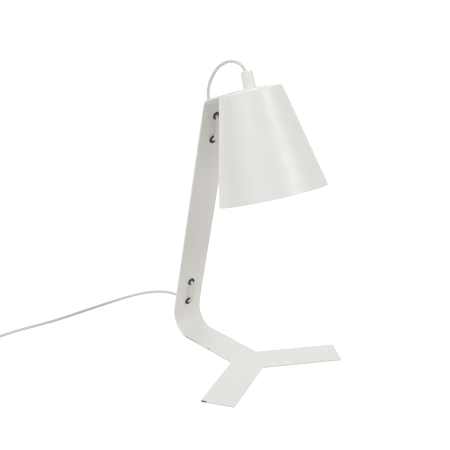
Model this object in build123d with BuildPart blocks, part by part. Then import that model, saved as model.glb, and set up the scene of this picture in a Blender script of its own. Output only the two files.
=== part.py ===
"""A desk lamp folded from one strip of sheet steel, with a laced flex, a cone shade,
a cord grip on the top, an in-line rocker switch and a two-pin plug.

The frame: millimetres, +Z up, the table at z = 0, the centre of the Y foot at x = y = 0,
the front of the lamp towards -Y.
"""

from build123d import *
from math import cos, hypot, pi, radians, sin, tan
import os

os.makedirs("parts", exist_ok=True)

# Stand: one sheet, cut as a Y and folded twice
SHEET = 3.0
STRIP_WIDTH = 55.0
LEG_LENGTH = 148.0
LEG_SPREAD = 60.0
LEG_CORNER = 1.5
UPRIGHT_LEAN = 15.4
UPRIGHT_BACK = 182.8
LOW_BEND = 34.0
TOP_BEND = 13.0
FLANGE_TILT = 18.0
FLANGE_PAST_AXIS = 12.0
FLANGE_CORNER = 8.0
HEAD_FORWARD = 11.6
HEAD_HEIGHT = 453.8

# Foam sheet under the foot
PAD = 0.5
PAD_INSET = 3.0
PAD_TAIL = 4.0

# Flex
CORD = 5.4
CORD_R = CORD / 2
ARC_SHARE = 0.45
LACE_TOP_BOW = 8.0
LACE_LOW_BOW = 10.5
LACE_BACK = 12.5
LACE_UPPER_BACK = 14.0

# Loop of the flex from the grip to the top hole: share of the straight way, rise over it
LOOP = (
    (0.0243, 8.35),
    (0.1751, 24.54),
    (0.436, 45.15),
    (0.6821, 53.84),
    (0.8692, 55.17),
    (1.0291, 40.85),
    (1.0836, 31.56),
)

# Flex behind the upright: share of the way between its inner holes, distance behind, aside
BACK_RUN = (
    (0.1185, 9.6, 0.8),
    (0.3052, 8.0, 1.5),
    (0.4991, 7.4, 0.4),
    (0.6912, 8.0, -1.0),
    (0.8779, 9.6, 0.4),
)

# Free flex from behind the lowest hole down to the table and along it
DROP = 16.0
FALL = (
    (4.2, 212.4, 52.3),
    (8.8, 241.5, 46.0),
    (11.2, 268.9, 38.2),
    (11.5, 293.7, 30.7),
    (0.7, 318.1, 22.0),
    (-20.9, 337.1, 10.4),
)
ON_TABLE = (
    (-49.8, 347.7),
    (-85.1, 346.2),
    (-125.1, 345.6),
    (-164.5, 345.9),
    (-203.3, 349.5),
    (-238.0, 356.6),
    (-266.0, 353.4),
)
SWITCH_LEAD_IN = 12.0
SWITCH_LEAD_OUT = 15.0
TO_COIL = (
    (-416.0, 342.5, 6.4),
    (-426.6, 327.0, 4.4),
)
COIL_APPROACH = (-429.2, 307.5)
COIL_LEAD_IN = 14.0
COIL_LEAD_OUT = 13.0
PLUG_LEAD = 14.0

# Holes in the upright: down from where its face meets the flange, and up from the foot
UPPER_HOLES = (27.9, 69.4)
LOWER_HOLES = (97.1, 55.6)
HOLE_R = 4.0
GROMMET_R = 5.9
GROMMET_LIP = 1.2
GROMMET_BORE = CORD_R + 0.1
GROMMET_FIT = 0.03
GROMMET_BEVEL = 0.6
GROMMET_MOUTH = 0.72

# Shade
SHADE_TOP_R = 47.8
SHADE_MOUTH_R = 83.9
SHADE_HEIGHT = 160.5
SHADE_WALL = 1.0
SHADE_EDGE = 3.0

# Cord grip and threaded tube
GRIP_BASE_R = 10.0
GRIP_TOP_R = 9.3
GRIP_HEIGHT = 26.0
GRIP_EDGE = 0.8
GRIP_BORE = CORD_R + 0.2
GRIP_SCREW_R = 1.5
GRIP_SCREW_HEIGHT = 20.0
GRIP_SLOT = 2.55
TUBE_R = 5.0
TUBE_BORE = 3.4
TUBE_IN_GRIP = 13.0
TUBE_IN_HOLDER = 9.0
TUBE_FIT = 0.05
TUBE_HOLE = 5.2
TUBE_BEVEL = 0.4
WASHER_R = 11.0
WASHER = 1.2
WASHER_FIT = 0.2
NUT = 3.0
NUT_FLATS = 14.0

# Lampholder
HOLDER_CAP = 20.0
HOLDER_NECK_R = 8.0
HOLDER_NECK = 6.0
HOLDER_FLARE = 11.0
NECK_EDGE = 0.6
NECK_HOLLOW = 2.5
FLARE_EDGE = 3.0
HOLDER_CAP_R = 14.5
HOLDER_R = 14.0
HOLDER_LENGTH = 36.0
HOLDER_WALL = 1.6
HOLDER_SPIGOT = 5.0
HOLDER_MOUTH_R = 11.0
MOUTH_LIP = 2.0
BODY_EDGE = 1.0
SPIGOT_STEP = 0.2
SKIRT_WALL = 2.0
INSERT_DEPTH = 6.0
INSERT = 8.0
SHELL_R = 7.25
SHELL_WALL = 0.35
SHELL_LENGTH = 18.0
CONTACT = 0.5
CONTACT_DROP = 2.0
CONTACT_HALF = 4.5
CONTACT_FLAT = 2.0
CONTACT_WIDTH = 4.0
TERMINAL_X = 7.5
TERMINAL_SCREW_R = 1.5
TERMINAL_HEAD_R = 2.55
TERMINAL_HEAD = 1.6
TERMINAL_SHANK = 4.8
TERMINAL_HOLE = 5.6
SKIRT = 6.0
WIRE_R = 1.0
WIRE_PAIR = 1.25
WIRE_BEND = 2.2
CORE_START = 3.0
CORE_STRAIGHT = 4.0
CORE_SPREAD = 8.5

# Lamp bulb with a small screw cap
BULB_CAP_R = 6.45
BULB_CAP_LENGTH = 16.0
BULB_TIP_R = 2.4
BULB_TIP = 1.2
BULB_STEM_R = 1.0
BULB_GLASS = 2.2
GLOBE_R = 22.5
GLOBE_WALL = 1.2
GLOBE_CUT_R = 17.6
HOUSING = 22.4
HOUSING_TOP_R = 7.25
HOUSING_NECK_R = 8.45
HOUSING_NECK = 5.0
HOUSING_WAIST_R = 12.65
HOUSING_WAIST = 13.0
HOUSING_RIM = 1.5
TIP_TOP_SHARE = 0.6
GLASS_TOP_R = 3.6
GLASS_EDGE = 0.5
BOARD_R = 14.9
BOARD = 1.2
LED_COUNT = 8
LED_RING_R = 10.0
LED_SIZE = (2.8, 3.5, 0.8)

# In-line switch, lying along X
SWITCH_X = -342.0
SWITCH_Y = 349.5
SWITCH_LENGTH = 48.0
SWITCH_WIDTH = 26.0
SWITCH_HEIGHT = 16.5
SWITCH_SPLIT = 8.5
SWITCH_WALL = 1.8
SWITCH_CORNER = 6.0
SWITCH_EDGE = 2.2
SWITCH_UNDER_EDGE = 0.8
SLEEVE = 18.0
SLEEVE_R = 5.2
SLEEVE_TIP_R = 3.6
SLEEVE_NECK_R = 3.8
SLEEVE_FLANGE_R = 4.6
SLEEVE_FLANGE = 1.5
SLEEVE_COLLAR = 3.0
ROCKER_R = 9.2
ROCKER_WIDTH = 9.4
ROCKER_TILT = 11.0
ROCKER_PIVOT = 12.6
ROCKER_MIDDLE = 3.6
ROCKER_EAR = 5.2
ROCKER_UNDER = 1.5
ROCKER_GAP = 0.3
PIN_R = 1.2
PIN_FIT = 0.07
COLLAR = 1.6
COLLAR_LENGTH = 8.0
COLLAR_RISE = 2.0
BOSS_R = 3.0
BOSS_X = 18.0
BOSS_Y = 8.0
SCREW_R = 1.3
SCREW_HEAD_R = 2.6
SCREW_HEAD = 1.5
SCREW_FIT = 0.05
SCREW_SUNK = 0.35
SCREW_GRIP = 4.0
SCREW_HOLE = 5.0
TERMINAL_BLOCK = (6.0, 7.0, 9.0)
TERMINAL_BLOCK_X = 14.5
BLADE = 0.5
BLADE_WIDTH = 4.0
BLADE_FOOT = 3.0
BLADE_TAB = 2.0
BLADE_CREST = 6.6

# Put-away coil of the flex
COIL_X = -388.0
COIL_Y = 270.0
COIL_INNER = 21.6
COIL_PITCH = 6.0
COIL_LAYER = 6.0
COIL_TUCK = 2.4
COIL_TURNS_IN = 3
TIE = 0.8
TIE_WIDTH = 9.0
TIE_FIT = 0.2
TIE_GAP = 0.05

# Two-pin plug, its pins along -Y
PLUG_Y = 197.0
PLUG_LENGTH = 35.0
PLUG_WIDTH = 35.3
PLUG_THICK = 13.7
PLUG_SHOULDER = 12.0
PLUG_TAPER = 14.0
PLUG_HIP_R = 8.0
PLUG_OFFSET = 1.0
PLUG_EDGE = 1.6
PLUG_CORNER = 2.5
PLUG_RELIEF = 25.0
RELIEF_R = 5.0
RELIEF_TIP_R = 3.5
RELIEF_RINGS = 5
RELIEF_GROOVE = 0.9
PIN_SPACING = 18.6
PLUG_PIN_R = 2.0
PLUG_PIN_LENGTH = 19.0
PLUG_PIN_BARE = 9.0
PLUG_CORE_R = 1.3
PLUG_SLEEVE_R = 1.9
PLUG_SLEEVE_TAPER = 0.8
PLUG_PIN_TIP = 0.8
PLUG_CORE_DEPTH = 8.0
PLUG_FIT = 0.03

# Planes that the stand gives: the upright's front face and the underside of the flange
FACE_OUT = Vector(0, -cos(radians(UPRIGHT_LEAN)), -sin(radians(UPRIGHT_LEAN)))
UPRIGHT = Plane(origin=(0, UPRIGHT_BACK, PAD), x_dir=(1, 0, 0), z_dir=FACE_OUT)
HEAD_UP = Vector(0, sin(radians(FLANGE_TILT)), cos(radians(FLANGE_TILT)))
HEAD_ORIGIN = Vector(0, -HEAD_FORWARD, PAD + HEAD_HEIGHT)
HEAD = Plane(origin=HEAD_ORIGIN, x_dir=(1, 0, 0), z_dir=HEAD_UP)
HEAD_SIDE = Plane(origin=HEAD_ORIGIN, x_dir=(1, 0, 0), z_dir=(0, -HEAD_UP.Z, HEAD_UP.Y))
HEAD_AXIS = Axis(HEAD_ORIGIN, HEAD_UP)


def on_upright(along, behind, aside=0.0):
    """A point by its place along the upright and how far it lies behind the front face."""
    return UPRIGHT.from_local_coords(Vector(aside, along, -behind))


def on_head(height, aside=0.0, back=0.0):
    """A point by its height over the top of the shade, along the shade's own axis."""
    return HEAD.from_local_coords(Vector(aside, back, height))


def meet(p, d, q, e):
    """Where two lines in the YZ plane cross, each given by a point and a direction."""
    k = ((q.Y - p.Y) * e.Z - (q.Z - p.Z) * e.Y) / (d.Y * e.Z - d.Z * e.Y)
    return p + d * k


def arc_radii(points, caps=None):
    """The largest arc that each corner's two runs allow, or the corner's own cap."""
    radii = []
    for i in range(1, len(points) - 1):
        before, after = points[i] - points[i - 1], points[i + 1] - points[i]
        half = radians(before.get_angle(after)) / 2
        radius = ARC_SHARE * min(before.length, after.length) / tan(half)
        radii.append(min(radius, (caps or {}).get(i, radius)))
    return radii


def cord_length(points, radii):
    """The length of straight runs joined by tangent arcs."""
    total = sum((b - a).length for a, b in zip(points, points[1:]))
    for i, radius in enumerate(radii, 1):
        turn = radians((points[i] - points[i - 1]).get_angle(points[i + 1] - points[i]))
        total += radius * turn - 2 * radius * tan(turn / 2)
    return total


def flex(points, label, caps=None, radius=CORD_R):
    """A round tube along a route, exported under its label; returns its length."""
    radii = arc_radii(points, caps)
    with BuildPart() as piece:
        with BuildLine() as route:
            FilletPolyline(*points, radius=radii)
        with BuildSketch(Plane(origin=points[0], z_dir=points[1] - points[0])):
            Circle(radius)
        sweep(path=route.wires()[0])
    length = cord_length(points, radii)
    print(label, "radii", [round(r, 1) for r in radii], "length", round(length, 1),
          "volume over section x length", round(piece.part.volume / (pi * radius**2 * length), 4))
    piece.part.label = label
    export_step(piece.part, "parts/" + label + ".step")
    return length


# Stand plate: side profile of the strip, the two front legs, holes for flex and tube
lean_up = Vector(0, -sin(radians(UPRIGHT_LEAN)), cos(radians(UPRIGHT_LEAN)))
forward = Vector(0, -HEAD_UP.Z, HEAD_UP.Y)
along_y = Vector(0, 1, 0)
foot_top = Vector(0, 0, PAD + SHEET)
foot_under = Vector(0, 0, PAD)
face_foot = on_upright(0, 0)
back_foot = on_upright(0, SHEET)
inner = [
    foot_top,
    meet(foot_top, along_y, face_foot, lean_up),
    meet(face_foot, lean_up, HEAD_ORIGIN, forward),
    HEAD_ORIGIN + forward * FLANGE_PAST_AXIS,
]
flange_top = HEAD_ORIGIN + HEAD_UP * SHEET
outer = [
    foot_under,
    meet(foot_under, along_y, back_foot, lean_up),
    meet(back_foot, lean_up, flange_top, forward),
    flange_top + forward * FLANGE_PAST_AXIS,
]
face_length = (inner[2] - face_foot).length
HOLES = [face_length - down for down in UPPER_HOLES] + list(LOWER_HOLES)
bend_start = inner[1].Y - LOW_BEND * tan(radians(90 + UPRIGHT_LEAN) / 2)
with BuildPart() as stand_plate:
    with BuildSketch(Plane.YZ):
        with BuildLine():
            FilletPolyline(*[(p.Y, p.Z) for p in inner], radius=[LOW_BEND, TOP_BEND])
            FilletPolyline(*[(p.Y, p.Z) for p in outer], radius=[LOW_BEND + SHEET, TOP_BEND + SHEET])
            Line((inner[0].Y, inner[0].Z), (outer[0].Y, outer[0].Z))
            Line((inner[3].Y, inner[3].Z), (outer[3].Y, outer[3].Z))
        make_face()
    extrude(amount=STRIP_WIDTH / 2, both=True)
    flange_corners = stand_plate.edges().filter_by(lambda e: e.center().Z > PAD + HEAD_HEIGHT)
    fillet(flange_corners.filter_by(HEAD_AXIS), radius=FLANGE_CORNER)
    with BuildSketch(Plane.XY.offset(PAD)) as legs:
        with Locations(*[Location((0, 0, 0), (0, 0, -90 + s * LEG_SPREAD)) for s in (-1, 1)]):
            Rectangle(LEG_LENGTH, STRIP_WIDTH, align=(Align.MIN, Align.CENTER))
        leg_ends = legs.vertices().filter_by(lambda v: hypot(v.X, v.Y) > LEG_LENGTH)
        fillet(leg_ends, radius=LEG_CORNER)
    extrude(amount=SHEET)
    with BuildSketch(UPRIGHT.offset(SHEET)):
        with Locations(*[(0, s) for s in HOLES]):
            Circle(HOLE_R)
    extrude(amount=-3 * SHEET, mode=Mode.SUBTRACT)
    with BuildSketch(HEAD.offset(-SHEET)):
        Circle(TUBE_HOLE)
    extrude(amount=3 * SHEET, mode=Mode.SUBTRACT)
stand_plate.part.label = "stand_plate"
export_step(stand_plate.part, "parts/stand_plate.step")

# Foam sheet: the same Y, a little smaller
with BuildPart() as base_pad:
    with BuildSketch():
        with Locations(*[Location((0, 0, 0), (0, 0, -90 + s * LEG_SPREAD)) for s in (-1, 1)]):
            Rectangle(LEG_LENGTH - PAD_INSET, STRIP_WIDTH - 2 * PAD_INSET,
                      align=(Align.MIN, Align.CENTER))
        Rectangle(STRIP_WIDTH - 2 * PAD_INSET, bend_start - PAD_TAIL,
                  align=(Align.CENTER, Align.MIN))
    extrude(amount=PAD)
base_pad.part.label = "base_pad"
export_step(base_pad.part, "parts/base_pad.step")

# Grommets: one rubber spool in each hole of the upright
for number, station in enumerate(HOLES, 1):
    side = Plane(origin=on_upright(station, 0), x_dir=(1, 0, 0), z_dir=lean_up)
    with BuildPart() as grommet:
        with BuildSketch(side):
            with BuildLine():
                Polyline(
                    (GROMMET_BORE, GROMMET_MOUTH - GROMMET_LIP),
                    (GROMMET_BORE + GROMMET_MOUTH, -GROMMET_LIP),
                    (GROMMET_R - GROMMET_BEVEL, -GROMMET_LIP),
                    (GROMMET_R, GROMMET_BEVEL - GROMMET_LIP),
                    (GROMMET_R, 0),
                    (HOLE_R - GROMMET_FIT, 0),
                    (HOLE_R - GROMMET_FIT, SHEET),
                    (GROMMET_R, SHEET),
                    (GROMMET_R, SHEET + GROMMET_LIP - GROMMET_BEVEL),
                    (GROMMET_R - GROMMET_BEVEL, SHEET + GROMMET_LIP),
                    (GROMMET_BORE + GROMMET_MOUTH, SHEET + GROMMET_LIP),
                    (GROMMET_BORE, SHEET + GROMMET_LIP - GROMMET_MOUTH),
                    close=True,
                )
            make_face()
        revolve(axis=Axis(on_upright(station, 0), FACE_OUT))
    grommet.part.label = "grommet_" + str(number)
    export_step(grommet.part, "parts/grommet_" + str(number) + ".step")

# Shade: a cone with a closed top and a softly rounded upper edge
with BuildPart() as shade:
    with BuildSketch(HEAD_SIDE):
        with BuildLine():
            FilletPolyline(
                (0, 0),
                (SHADE_TOP_R, 0),
                (SHADE_MOUTH_R, -SHADE_HEIGHT),
                radius=[SHADE_EDGE],
            )
            Line((SHADE_MOUTH_R, -SHADE_HEIGHT), (SHADE_MOUTH_R - SHADE_WALL, -SHADE_HEIGHT))
            FilletPolyline(
                (SHADE_MOUTH_R - SHADE_WALL, -SHADE_HEIGHT),
                (SHADE_TOP_R - SHADE_WALL, -SHADE_WALL),
                (0, -SHADE_WALL),
                radius=[SHADE_EDGE - SHADE_WALL],
            )
            Line((0, -SHADE_WALL), (0, 0))
        make_face()
    revolve(axis=HEAD_AXIS)
    with BuildSketch(HEAD.offset(SHADE_WALL)):
        Circle(TUBE_HOLE)
    extrude(amount=-3 * SHADE_WALL, mode=Mode.SUBTRACT)
shade.part.label = "shade"
export_step(shade.part, "parts/shade.step")

# Cord grip on the flange, its set screw on the side away from the front
with BuildPart() as cord_grip:
    with BuildSketch(HEAD_SIDE):
        with BuildLine():
            Polyline(
                (GRIP_BORE, SHEET + TUBE_IN_GRIP + TUBE_FIT),
                (GRIP_BORE, SHEET + GRIP_HEIGHT),
                (GRIP_TOP_R - GRIP_EDGE, SHEET + GRIP_HEIGHT),
                (GRIP_TOP_R, SHEET + GRIP_HEIGHT - GRIP_EDGE),
                (GRIP_BASE_R, SHEET),
                (TUBE_R + TUBE_FIT, SHEET),
                (TUBE_R + TUBE_FIT, SHEET + TUBE_IN_GRIP + TUBE_FIT),
                close=True,
            )
        make_face()
    revolve(axis=HEAD_AXIS)
    screw_plane = Plane(origin=on_head(SHEET + GRIP_SCREW_HEIGHT), x_dir=(1, 0, 0),
                        z_dir=-forward)
    with BuildSketch(screw_plane):
        Circle(GRIP_SCREW_R + PLUG_FIT)
    extrude(amount=GRIP_BASE_R, mode=Mode.SUBTRACT)
cord_grip.part.label = "cord_grip"
export_step(cord_grip.part, "parts/cord_grip.step")

with BuildPart() as grip_screw:
    with BuildSketch(screw_plane.offset(CORD_R + TUBE_FIT)):
        Circle(GRIP_SCREW_R)
    extrude(amount=GRIP_TOP_R - CORD_R - TUBE_FIT - GRIP_EDGE / 2)
    with BuildSketch(screw_plane.offset(GRIP_TOP_R - GRIP_EDGE / 2)):
        Rectangle(GRIP_SLOT, GRIP_EDGE / 2)
    extrude(amount=-GRIP_EDGE, mode=Mode.SUBTRACT)
grip_screw.part.label = "grip_screw"
export_step(grip_screw.part, "parts/grip_screw.step")

# Threaded tube, washer and nut that clamp the shade under the flange
nut_under = -(SHADE_WALL + WASHER + NUT)
with BuildPart() as threaded_tube:
    with BuildSketch(HEAD.offset(nut_under - TUBE_IN_HOLDER)):
        Circle(TUBE_R)
        Circle(TUBE_BORE, mode=Mode.SUBTRACT)
    extrude(amount=TUBE_IN_HOLDER - nut_under + SHEET + TUBE_IN_GRIP)
    chamfer(threaded_tube.edges().filter_by(GeomType.CIRCLE), length=TUBE_BEVEL)
threaded_tube.part.label = "threaded_tube"
export_step(threaded_tube.part, "parts/threaded_tube.step")

with BuildPart() as washer:
    with BuildSketch(HEAD.offset(-SHADE_WALL)):
        Circle(WASHER_R)
        Circle(TUBE_R + WASHER_FIT, mode=Mode.SUBTRACT)
    extrude(amount=-WASHER)
washer.part.label = "washer"
export_step(washer.part, "parts/washer.step")

with BuildPart() as lock_nut:
    with BuildSketch(HEAD.offset(-SHADE_WALL - WASHER)):
        RegularPolygon(NUT_FLATS / 2, 6, major_radius=False)
        Circle(TUBE_R + TUBE_FIT, mode=Mode.SUBTRACT)
    extrude(amount=-NUT)
lock_nut.part.label = "lock_nut"
export_step(lock_nut.part, "parts/lock_nut.step")

# Lampholder: cap, body, insert, screw shell, centre contact and terminal screws
cap_under = nut_under - HOLDER_CAP
spigot_r = HOLDER_R - HOLDER_WALL + SPIGOT_STEP
with BuildPart() as holder_cap:
    with BuildSketch(HEAD_SIDE):
        with BuildLine():
            FilletPolyline(
                (TUBE_R + TUBE_FIT, nut_under),
                (HOLDER_NECK_R, nut_under),
                (HOLDER_NECK_R, nut_under - HOLDER_NECK),
                (HOLDER_CAP_R, nut_under - HOLDER_FLARE),
                (HOLDER_CAP_R, cap_under),
                radius=[NECK_EDGE, NECK_HOLLOW, FLARE_EDGE],
            )
            Polyline(
                (HOLDER_CAP_R, cap_under),
                (spigot_r + TUBE_FIT, cap_under),
                (spigot_r + TUBE_FIT, nut_under - HOLDER_FLARE - MOUTH_LIP),
                (HOLDER_NECK_R - HOLDER_WALL, nut_under - TUBE_IN_HOLDER),
                (TUBE_R + TUBE_FIT, nut_under - TUBE_IN_HOLDER),
                (TUBE_R + TUBE_FIT, nut_under),
            )
        make_face()
    revolve(axis=HEAD_AXIS)
holder_cap.part.label = "holder_cap"
export_step(holder_cap.part, "parts/holder_cap.step")

body_under = cap_under - HOLDER_LENGTH
insert_top = cap_under - INSERT_DEPTH
insert_under = insert_top - INSERT
with BuildPart() as holder_body:
    with BuildSketch(HEAD_SIDE):
        with BuildLine():
            Polyline(
                (HOLDER_R - HOLDER_WALL, insert_top),
                (spigot_r - HOLDER_WALL, insert_top),
                (spigot_r - HOLDER_WALL, cap_under + HOLDER_SPIGOT),
                (spigot_r, cap_under + HOLDER_SPIGOT),
                (spigot_r, cap_under),
                (HOLDER_R, cap_under),
                (HOLDER_R, body_under + BODY_EDGE),
                (HOLDER_R - BODY_EDGE, body_under),
                (HOLDER_MOUTH_R, body_under),
                (HOLDER_MOUTH_R, body_under + MOUTH_LIP),
                (HOLDER_R - HOLDER_WALL, body_under + 2 * MOUTH_LIP),
                close=True,
            )
        make_face()
    revolve(axis=HEAD_AXIS)
holder_body.part.label = "holder_body"
export_step(holder_body.part, "parts/holder_body.step")

with BuildPart() as holder_insert:
    with BuildSketch(HEAD.offset(insert_top)):
        Circle(HOLDER_R - HOLDER_WALL - TUBE_FIT)
    extrude(amount=-INSERT)
    with BuildSketch(HEAD.offset(insert_top)):
        with Locations((-TERMINAL_X, 0), (TERMINAL_X, 0)):
            Circle(TERMINAL_SCREW_R + PLUG_FIT)
    extrude(amount=-TERMINAL_HOLE, mode=Mode.SUBTRACT)
    with BuildSketch(HEAD.offset(insert_under)):
        Circle(SHELL_R + SKIRT_WALL)
        Circle(SHELL_R + TUBE_FIT, mode=Mode.SUBTRACT)
    extrude(amount=-SKIRT)
holder_insert.part.label = "holder_insert"
export_step(holder_insert.part, "parts/holder_insert.step")

with BuildPart() as screw_shell:
    with BuildSketch(HEAD.offset(insert_under)):
        Circle(SHELL_R)
        Circle(SHELL_R - SHELL_WALL, mode=Mode.SUBTRACT)
    extrude(amount=-SHELL_LENGTH)
screw_shell.part.label = "screw_shell"
export_step(screw_shell.part, "parts/screw_shell.step")

contact_under = insert_under - CONTACT_DROP
with BuildPart() as centre_contact:
    with BuildSketch(HEAD_SIDE):
        with BuildLine():
            Polyline(
                (-CONTACT_HALF, insert_under),
                (-CONTACT_HALF, insert_under - CONTACT),
                (-CONTACT_FLAT, contact_under),
                (CONTACT_FLAT, contact_under),
                (CONTACT_HALF, insert_under - CONTACT),
                (CONTACT_HALF, insert_under),
                (CONTACT_HALF - 2 * CONTACT, insert_under),
                (CONTACT_FLAT - CONTACT / 2, contact_under + CONTACT),
                (CONTACT / 2 - CONTACT_FLAT, contact_under + CONTACT),
                (2 * CONTACT - CONTACT_HALF, insert_under),
                close=True,
            )
        make_face()
    extrude(amount=CONTACT_WIDTH / 2, both=True)
centre_contact.part.label = "centre_contact"
export_step(centre_contact.part, "parts/centre_contact.step")

with BuildPart() as terminal_screws:
    with Locations(*[Plane(origin=on_head(insert_top, x), z_dir=HEAD_UP).location
                     for x in (-TERMINAL_X, TERMINAL_X)]):
        Cylinder(TERMINAL_HEAD_R, TERMINAL_HEAD, align=(Align.CENTER, Align.CENTER, Align.MIN))
        Cylinder(TERMINAL_SCREW_R, TERMINAL_SHANK, align=(Align.CENTER, Align.CENTER, Align.MAX))
terminal_screws.part.label = "terminal_screws"
export_step(terminal_screws.part, "parts/terminal_screws.step")

# Two cores of the flex, from its end in the holder cap down to the insert
core_top = nut_under - TUBE_IN_HOLDER - CORE_START
for label, sense in (("live_wire", 1), ("neutral_wire", -1)):
    spread = (TERMINAL_X - TERMINAL_HEAD_R - WIRE_R - 2 * TUBE_FIT) * sense
    flex(
        [
            on_head(core_top, WIRE_PAIR * sense),
            on_head(core_top - CORE_STRAIGHT, WIRE_PAIR * sense),
            on_head(core_top - CORE_SPREAD, spread),
            on_head(insert_top, spread),
        ],
        label,
        caps={1: WIRE_BEND, 2: WIRE_BEND},
        radius=WIRE_R,
    )

# Bulb: contact tip, black glass, screw cap, housing, light board and globe
tip_top = contact_under
glass_top = tip_top - BULB_TIP
cap_top = glass_top - BULB_GLASS
housing_top = cap_top - BULB_CAP_LENGTH
board_top = housing_top - HOUSING
with BuildPart() as bulb_tip:
    with BuildSketch(HEAD.offset(glass_top)):
        Circle(BULB_TIP_R)
    with BuildSketch(HEAD.offset(tip_top)):
        Circle(BULB_TIP_R * TIP_TOP_SHARE)
    loft()
    with BuildSketch(HEAD.offset(glass_top)):
        Circle(BULB_STEM_R)
    extrude(amount=-BULB_GLASS / 2)
bulb_tip.part.label = "bulb_tip"
export_step(bulb_tip.part, "parts/bulb_tip.step")

with BuildPart() as bulb_insulator:
    with BuildSketch(HEAD_SIDE):
        with BuildLine():
            Polyline(
                (0, glass_top),
                (GLASS_TOP_R, glass_top),
                (BULB_CAP_R - GLASS_EDGE, cap_top),
                (0, cap_top),
                close=True,
            )
        make_face()
    revolve(axis=HEAD_AXIS)
    with BuildSketch(HEAD.offset(glass_top)):
        Circle(BULB_STEM_R + TUBE_FIT)
    extrude(amount=-BULB_GLASS / 2 - 2 * TUBE_FIT, mode=Mode.SUBTRACT)
bulb_insulator.part.label = "bulb_insulator"
export_step(bulb_insulator.part, "parts/bulb_insulator.step")

with BuildPart() as bulb_cap:
    with BuildSketch(HEAD.offset(cap_top)):
        Circle(BULB_CAP_R)
    extrude(amount=-BULB_CAP_LENGTH)
    chamfer(bulb_cap.faces().sort_by(HEAD_AXIS)[-1].edges(), length=GLASS_EDGE)
bulb_cap.part.label = "bulb_cap"
export_step(bulb_cap.part, "parts/bulb_cap.step")

with BuildPart() as bulb_housing:
    with BuildSketch(HEAD_SIDE):
        with BuildLine():
            Polyline((0, board_top), (0, housing_top), (HOUSING_TOP_R, housing_top))
            Line((HOUSING_TOP_R, housing_top), (HOUSING_NECK_R, housing_top - HOUSING_NECK))
            ThreePointArc(
                (HOUSING_NECK_R, housing_top - HOUSING_NECK),
                (HOUSING_WAIST_R, housing_top - HOUSING_WAIST),
                (GLOBE_CUT_R, board_top + HOUSING_RIM),
            )
            Polyline(
                (GLOBE_CUT_R, board_top + HOUSING_RIM),
                (GLOBE_CUT_R, board_top),
                (0, board_top),
            )
        make_face()
    revolve(axis=HEAD_AXIS)
bulb_housing.part.label = "bulb_housing"
export_step(bulb_housing.part, "parts/bulb_housing.step")

with BuildPart() as bulb_board:
    with BuildSketch(HEAD.offset(board_top)):
        Circle(BOARD_R)
    extrude(amount=-BOARD)
    with BuildSketch(HEAD.offset(board_top - BOARD)):
        with PolarLocations(LED_RING_R, LED_COUNT):
            Rectangle(*LED_SIZE[:2])
    extrude(amount=-LED_SIZE[2])
bulb_board.part.label = "bulb_board"
export_step(bulb_board.part, "parts/bulb_board.step")

globe_drop = (GLOBE_R**2 - GLOBE_CUT_R**2) ** 0.5
globe_centre = board_top - globe_drop
inner_r = GLOBE_R - GLOBE_WALL
inner_cut_r = (inner_r**2 - globe_drop**2) ** 0.5
with BuildPart() as bulb_globe:
    with BuildSketch(HEAD_SIDE):
        with BuildLine():
            ThreePointArc((GLOBE_CUT_R, board_top), (GLOBE_R, globe_centre),
                          (0, globe_centre - GLOBE_R))
            Line((0, globe_centre - GLOBE_R), (0, globe_centre - inner_r))
            ThreePointArc((0, globe_centre - inner_r), (inner_r, globe_centre),
                          (inner_cut_r, board_top))
            Line((inner_cut_r, board_top), (GLOBE_CUT_R, board_top))
        make_face()
    revolve(axis=HEAD_AXIS)
bulb_globe.part.label = "bulb_globe"
export_step(bulb_globe.part, "parts/bulb_globe.step")

# Laced flex: up through the grip, over the top, in and out of the upright's four holes
hole_a, hole_b, hole_c, hole_d = HOLES
exit_behind = SHEET + GROMMET_LIP
loop_start = on_head(SHEET + GRIP_HEIGHT)
loop_end = on_upright(hole_a, LACE_UPPER_BACK)
laced = [
    on_head(core_top),
    *[loop_start + (loop_end - loop_start) * share + Vector(0, 0, rise) for share, rise in LOOP],
    loop_end,
    on_upright(hole_a, -LACE_TOP_BOW),
    on_upright(hole_b, -LACE_TOP_BOW),
    on_upright(hole_b, LACE_BACK),
    *[on_upright(hole_b + (hole_c - hole_b) * share, behind, aside)
      for share, behind, aside in BACK_RUN],
    on_upright(hole_c, LACE_BACK),
    on_upright(hole_c, -LACE_LOW_BOW),
    on_upright(hole_d, -LACE_LOW_BOW),
    on_upright(hole_d, exit_behind),
]
bow_top = LACE_TOP_BOW - GROMMET_LIP
bow_low = LACE_LOW_BOW - GROMMET_LIP
bow_back = LACE_BACK - exit_behind
laced_length = flex(
    laced,
    "cord_laced",
    caps={9: bow_top, 10: bow_top, 11: bow_back, 17: bow_back, 18: bow_low, 19: bow_low},
)

# Free flex from the lowest hole to the switch
entry_x = SWITCH_X + SWITCH_LENGTH / 2 + SLEEVE
free = [
    on_upright(hole_d, exit_behind),
    on_upright(hole_d, exit_behind + DROP),
    *[Vector(*point) for point in FALL],
    *[Vector(x, y, CORD_R) for x, y in ON_TABLE],
    Vector(entry_x + SWITCH_LEAD_IN, SWITCH_Y, SWITCH_SPLIT),
    Vector(entry_x, SWITCH_Y, SWITCH_SPLIT),
]
free_length = flex(free, "cord_free")

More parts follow.
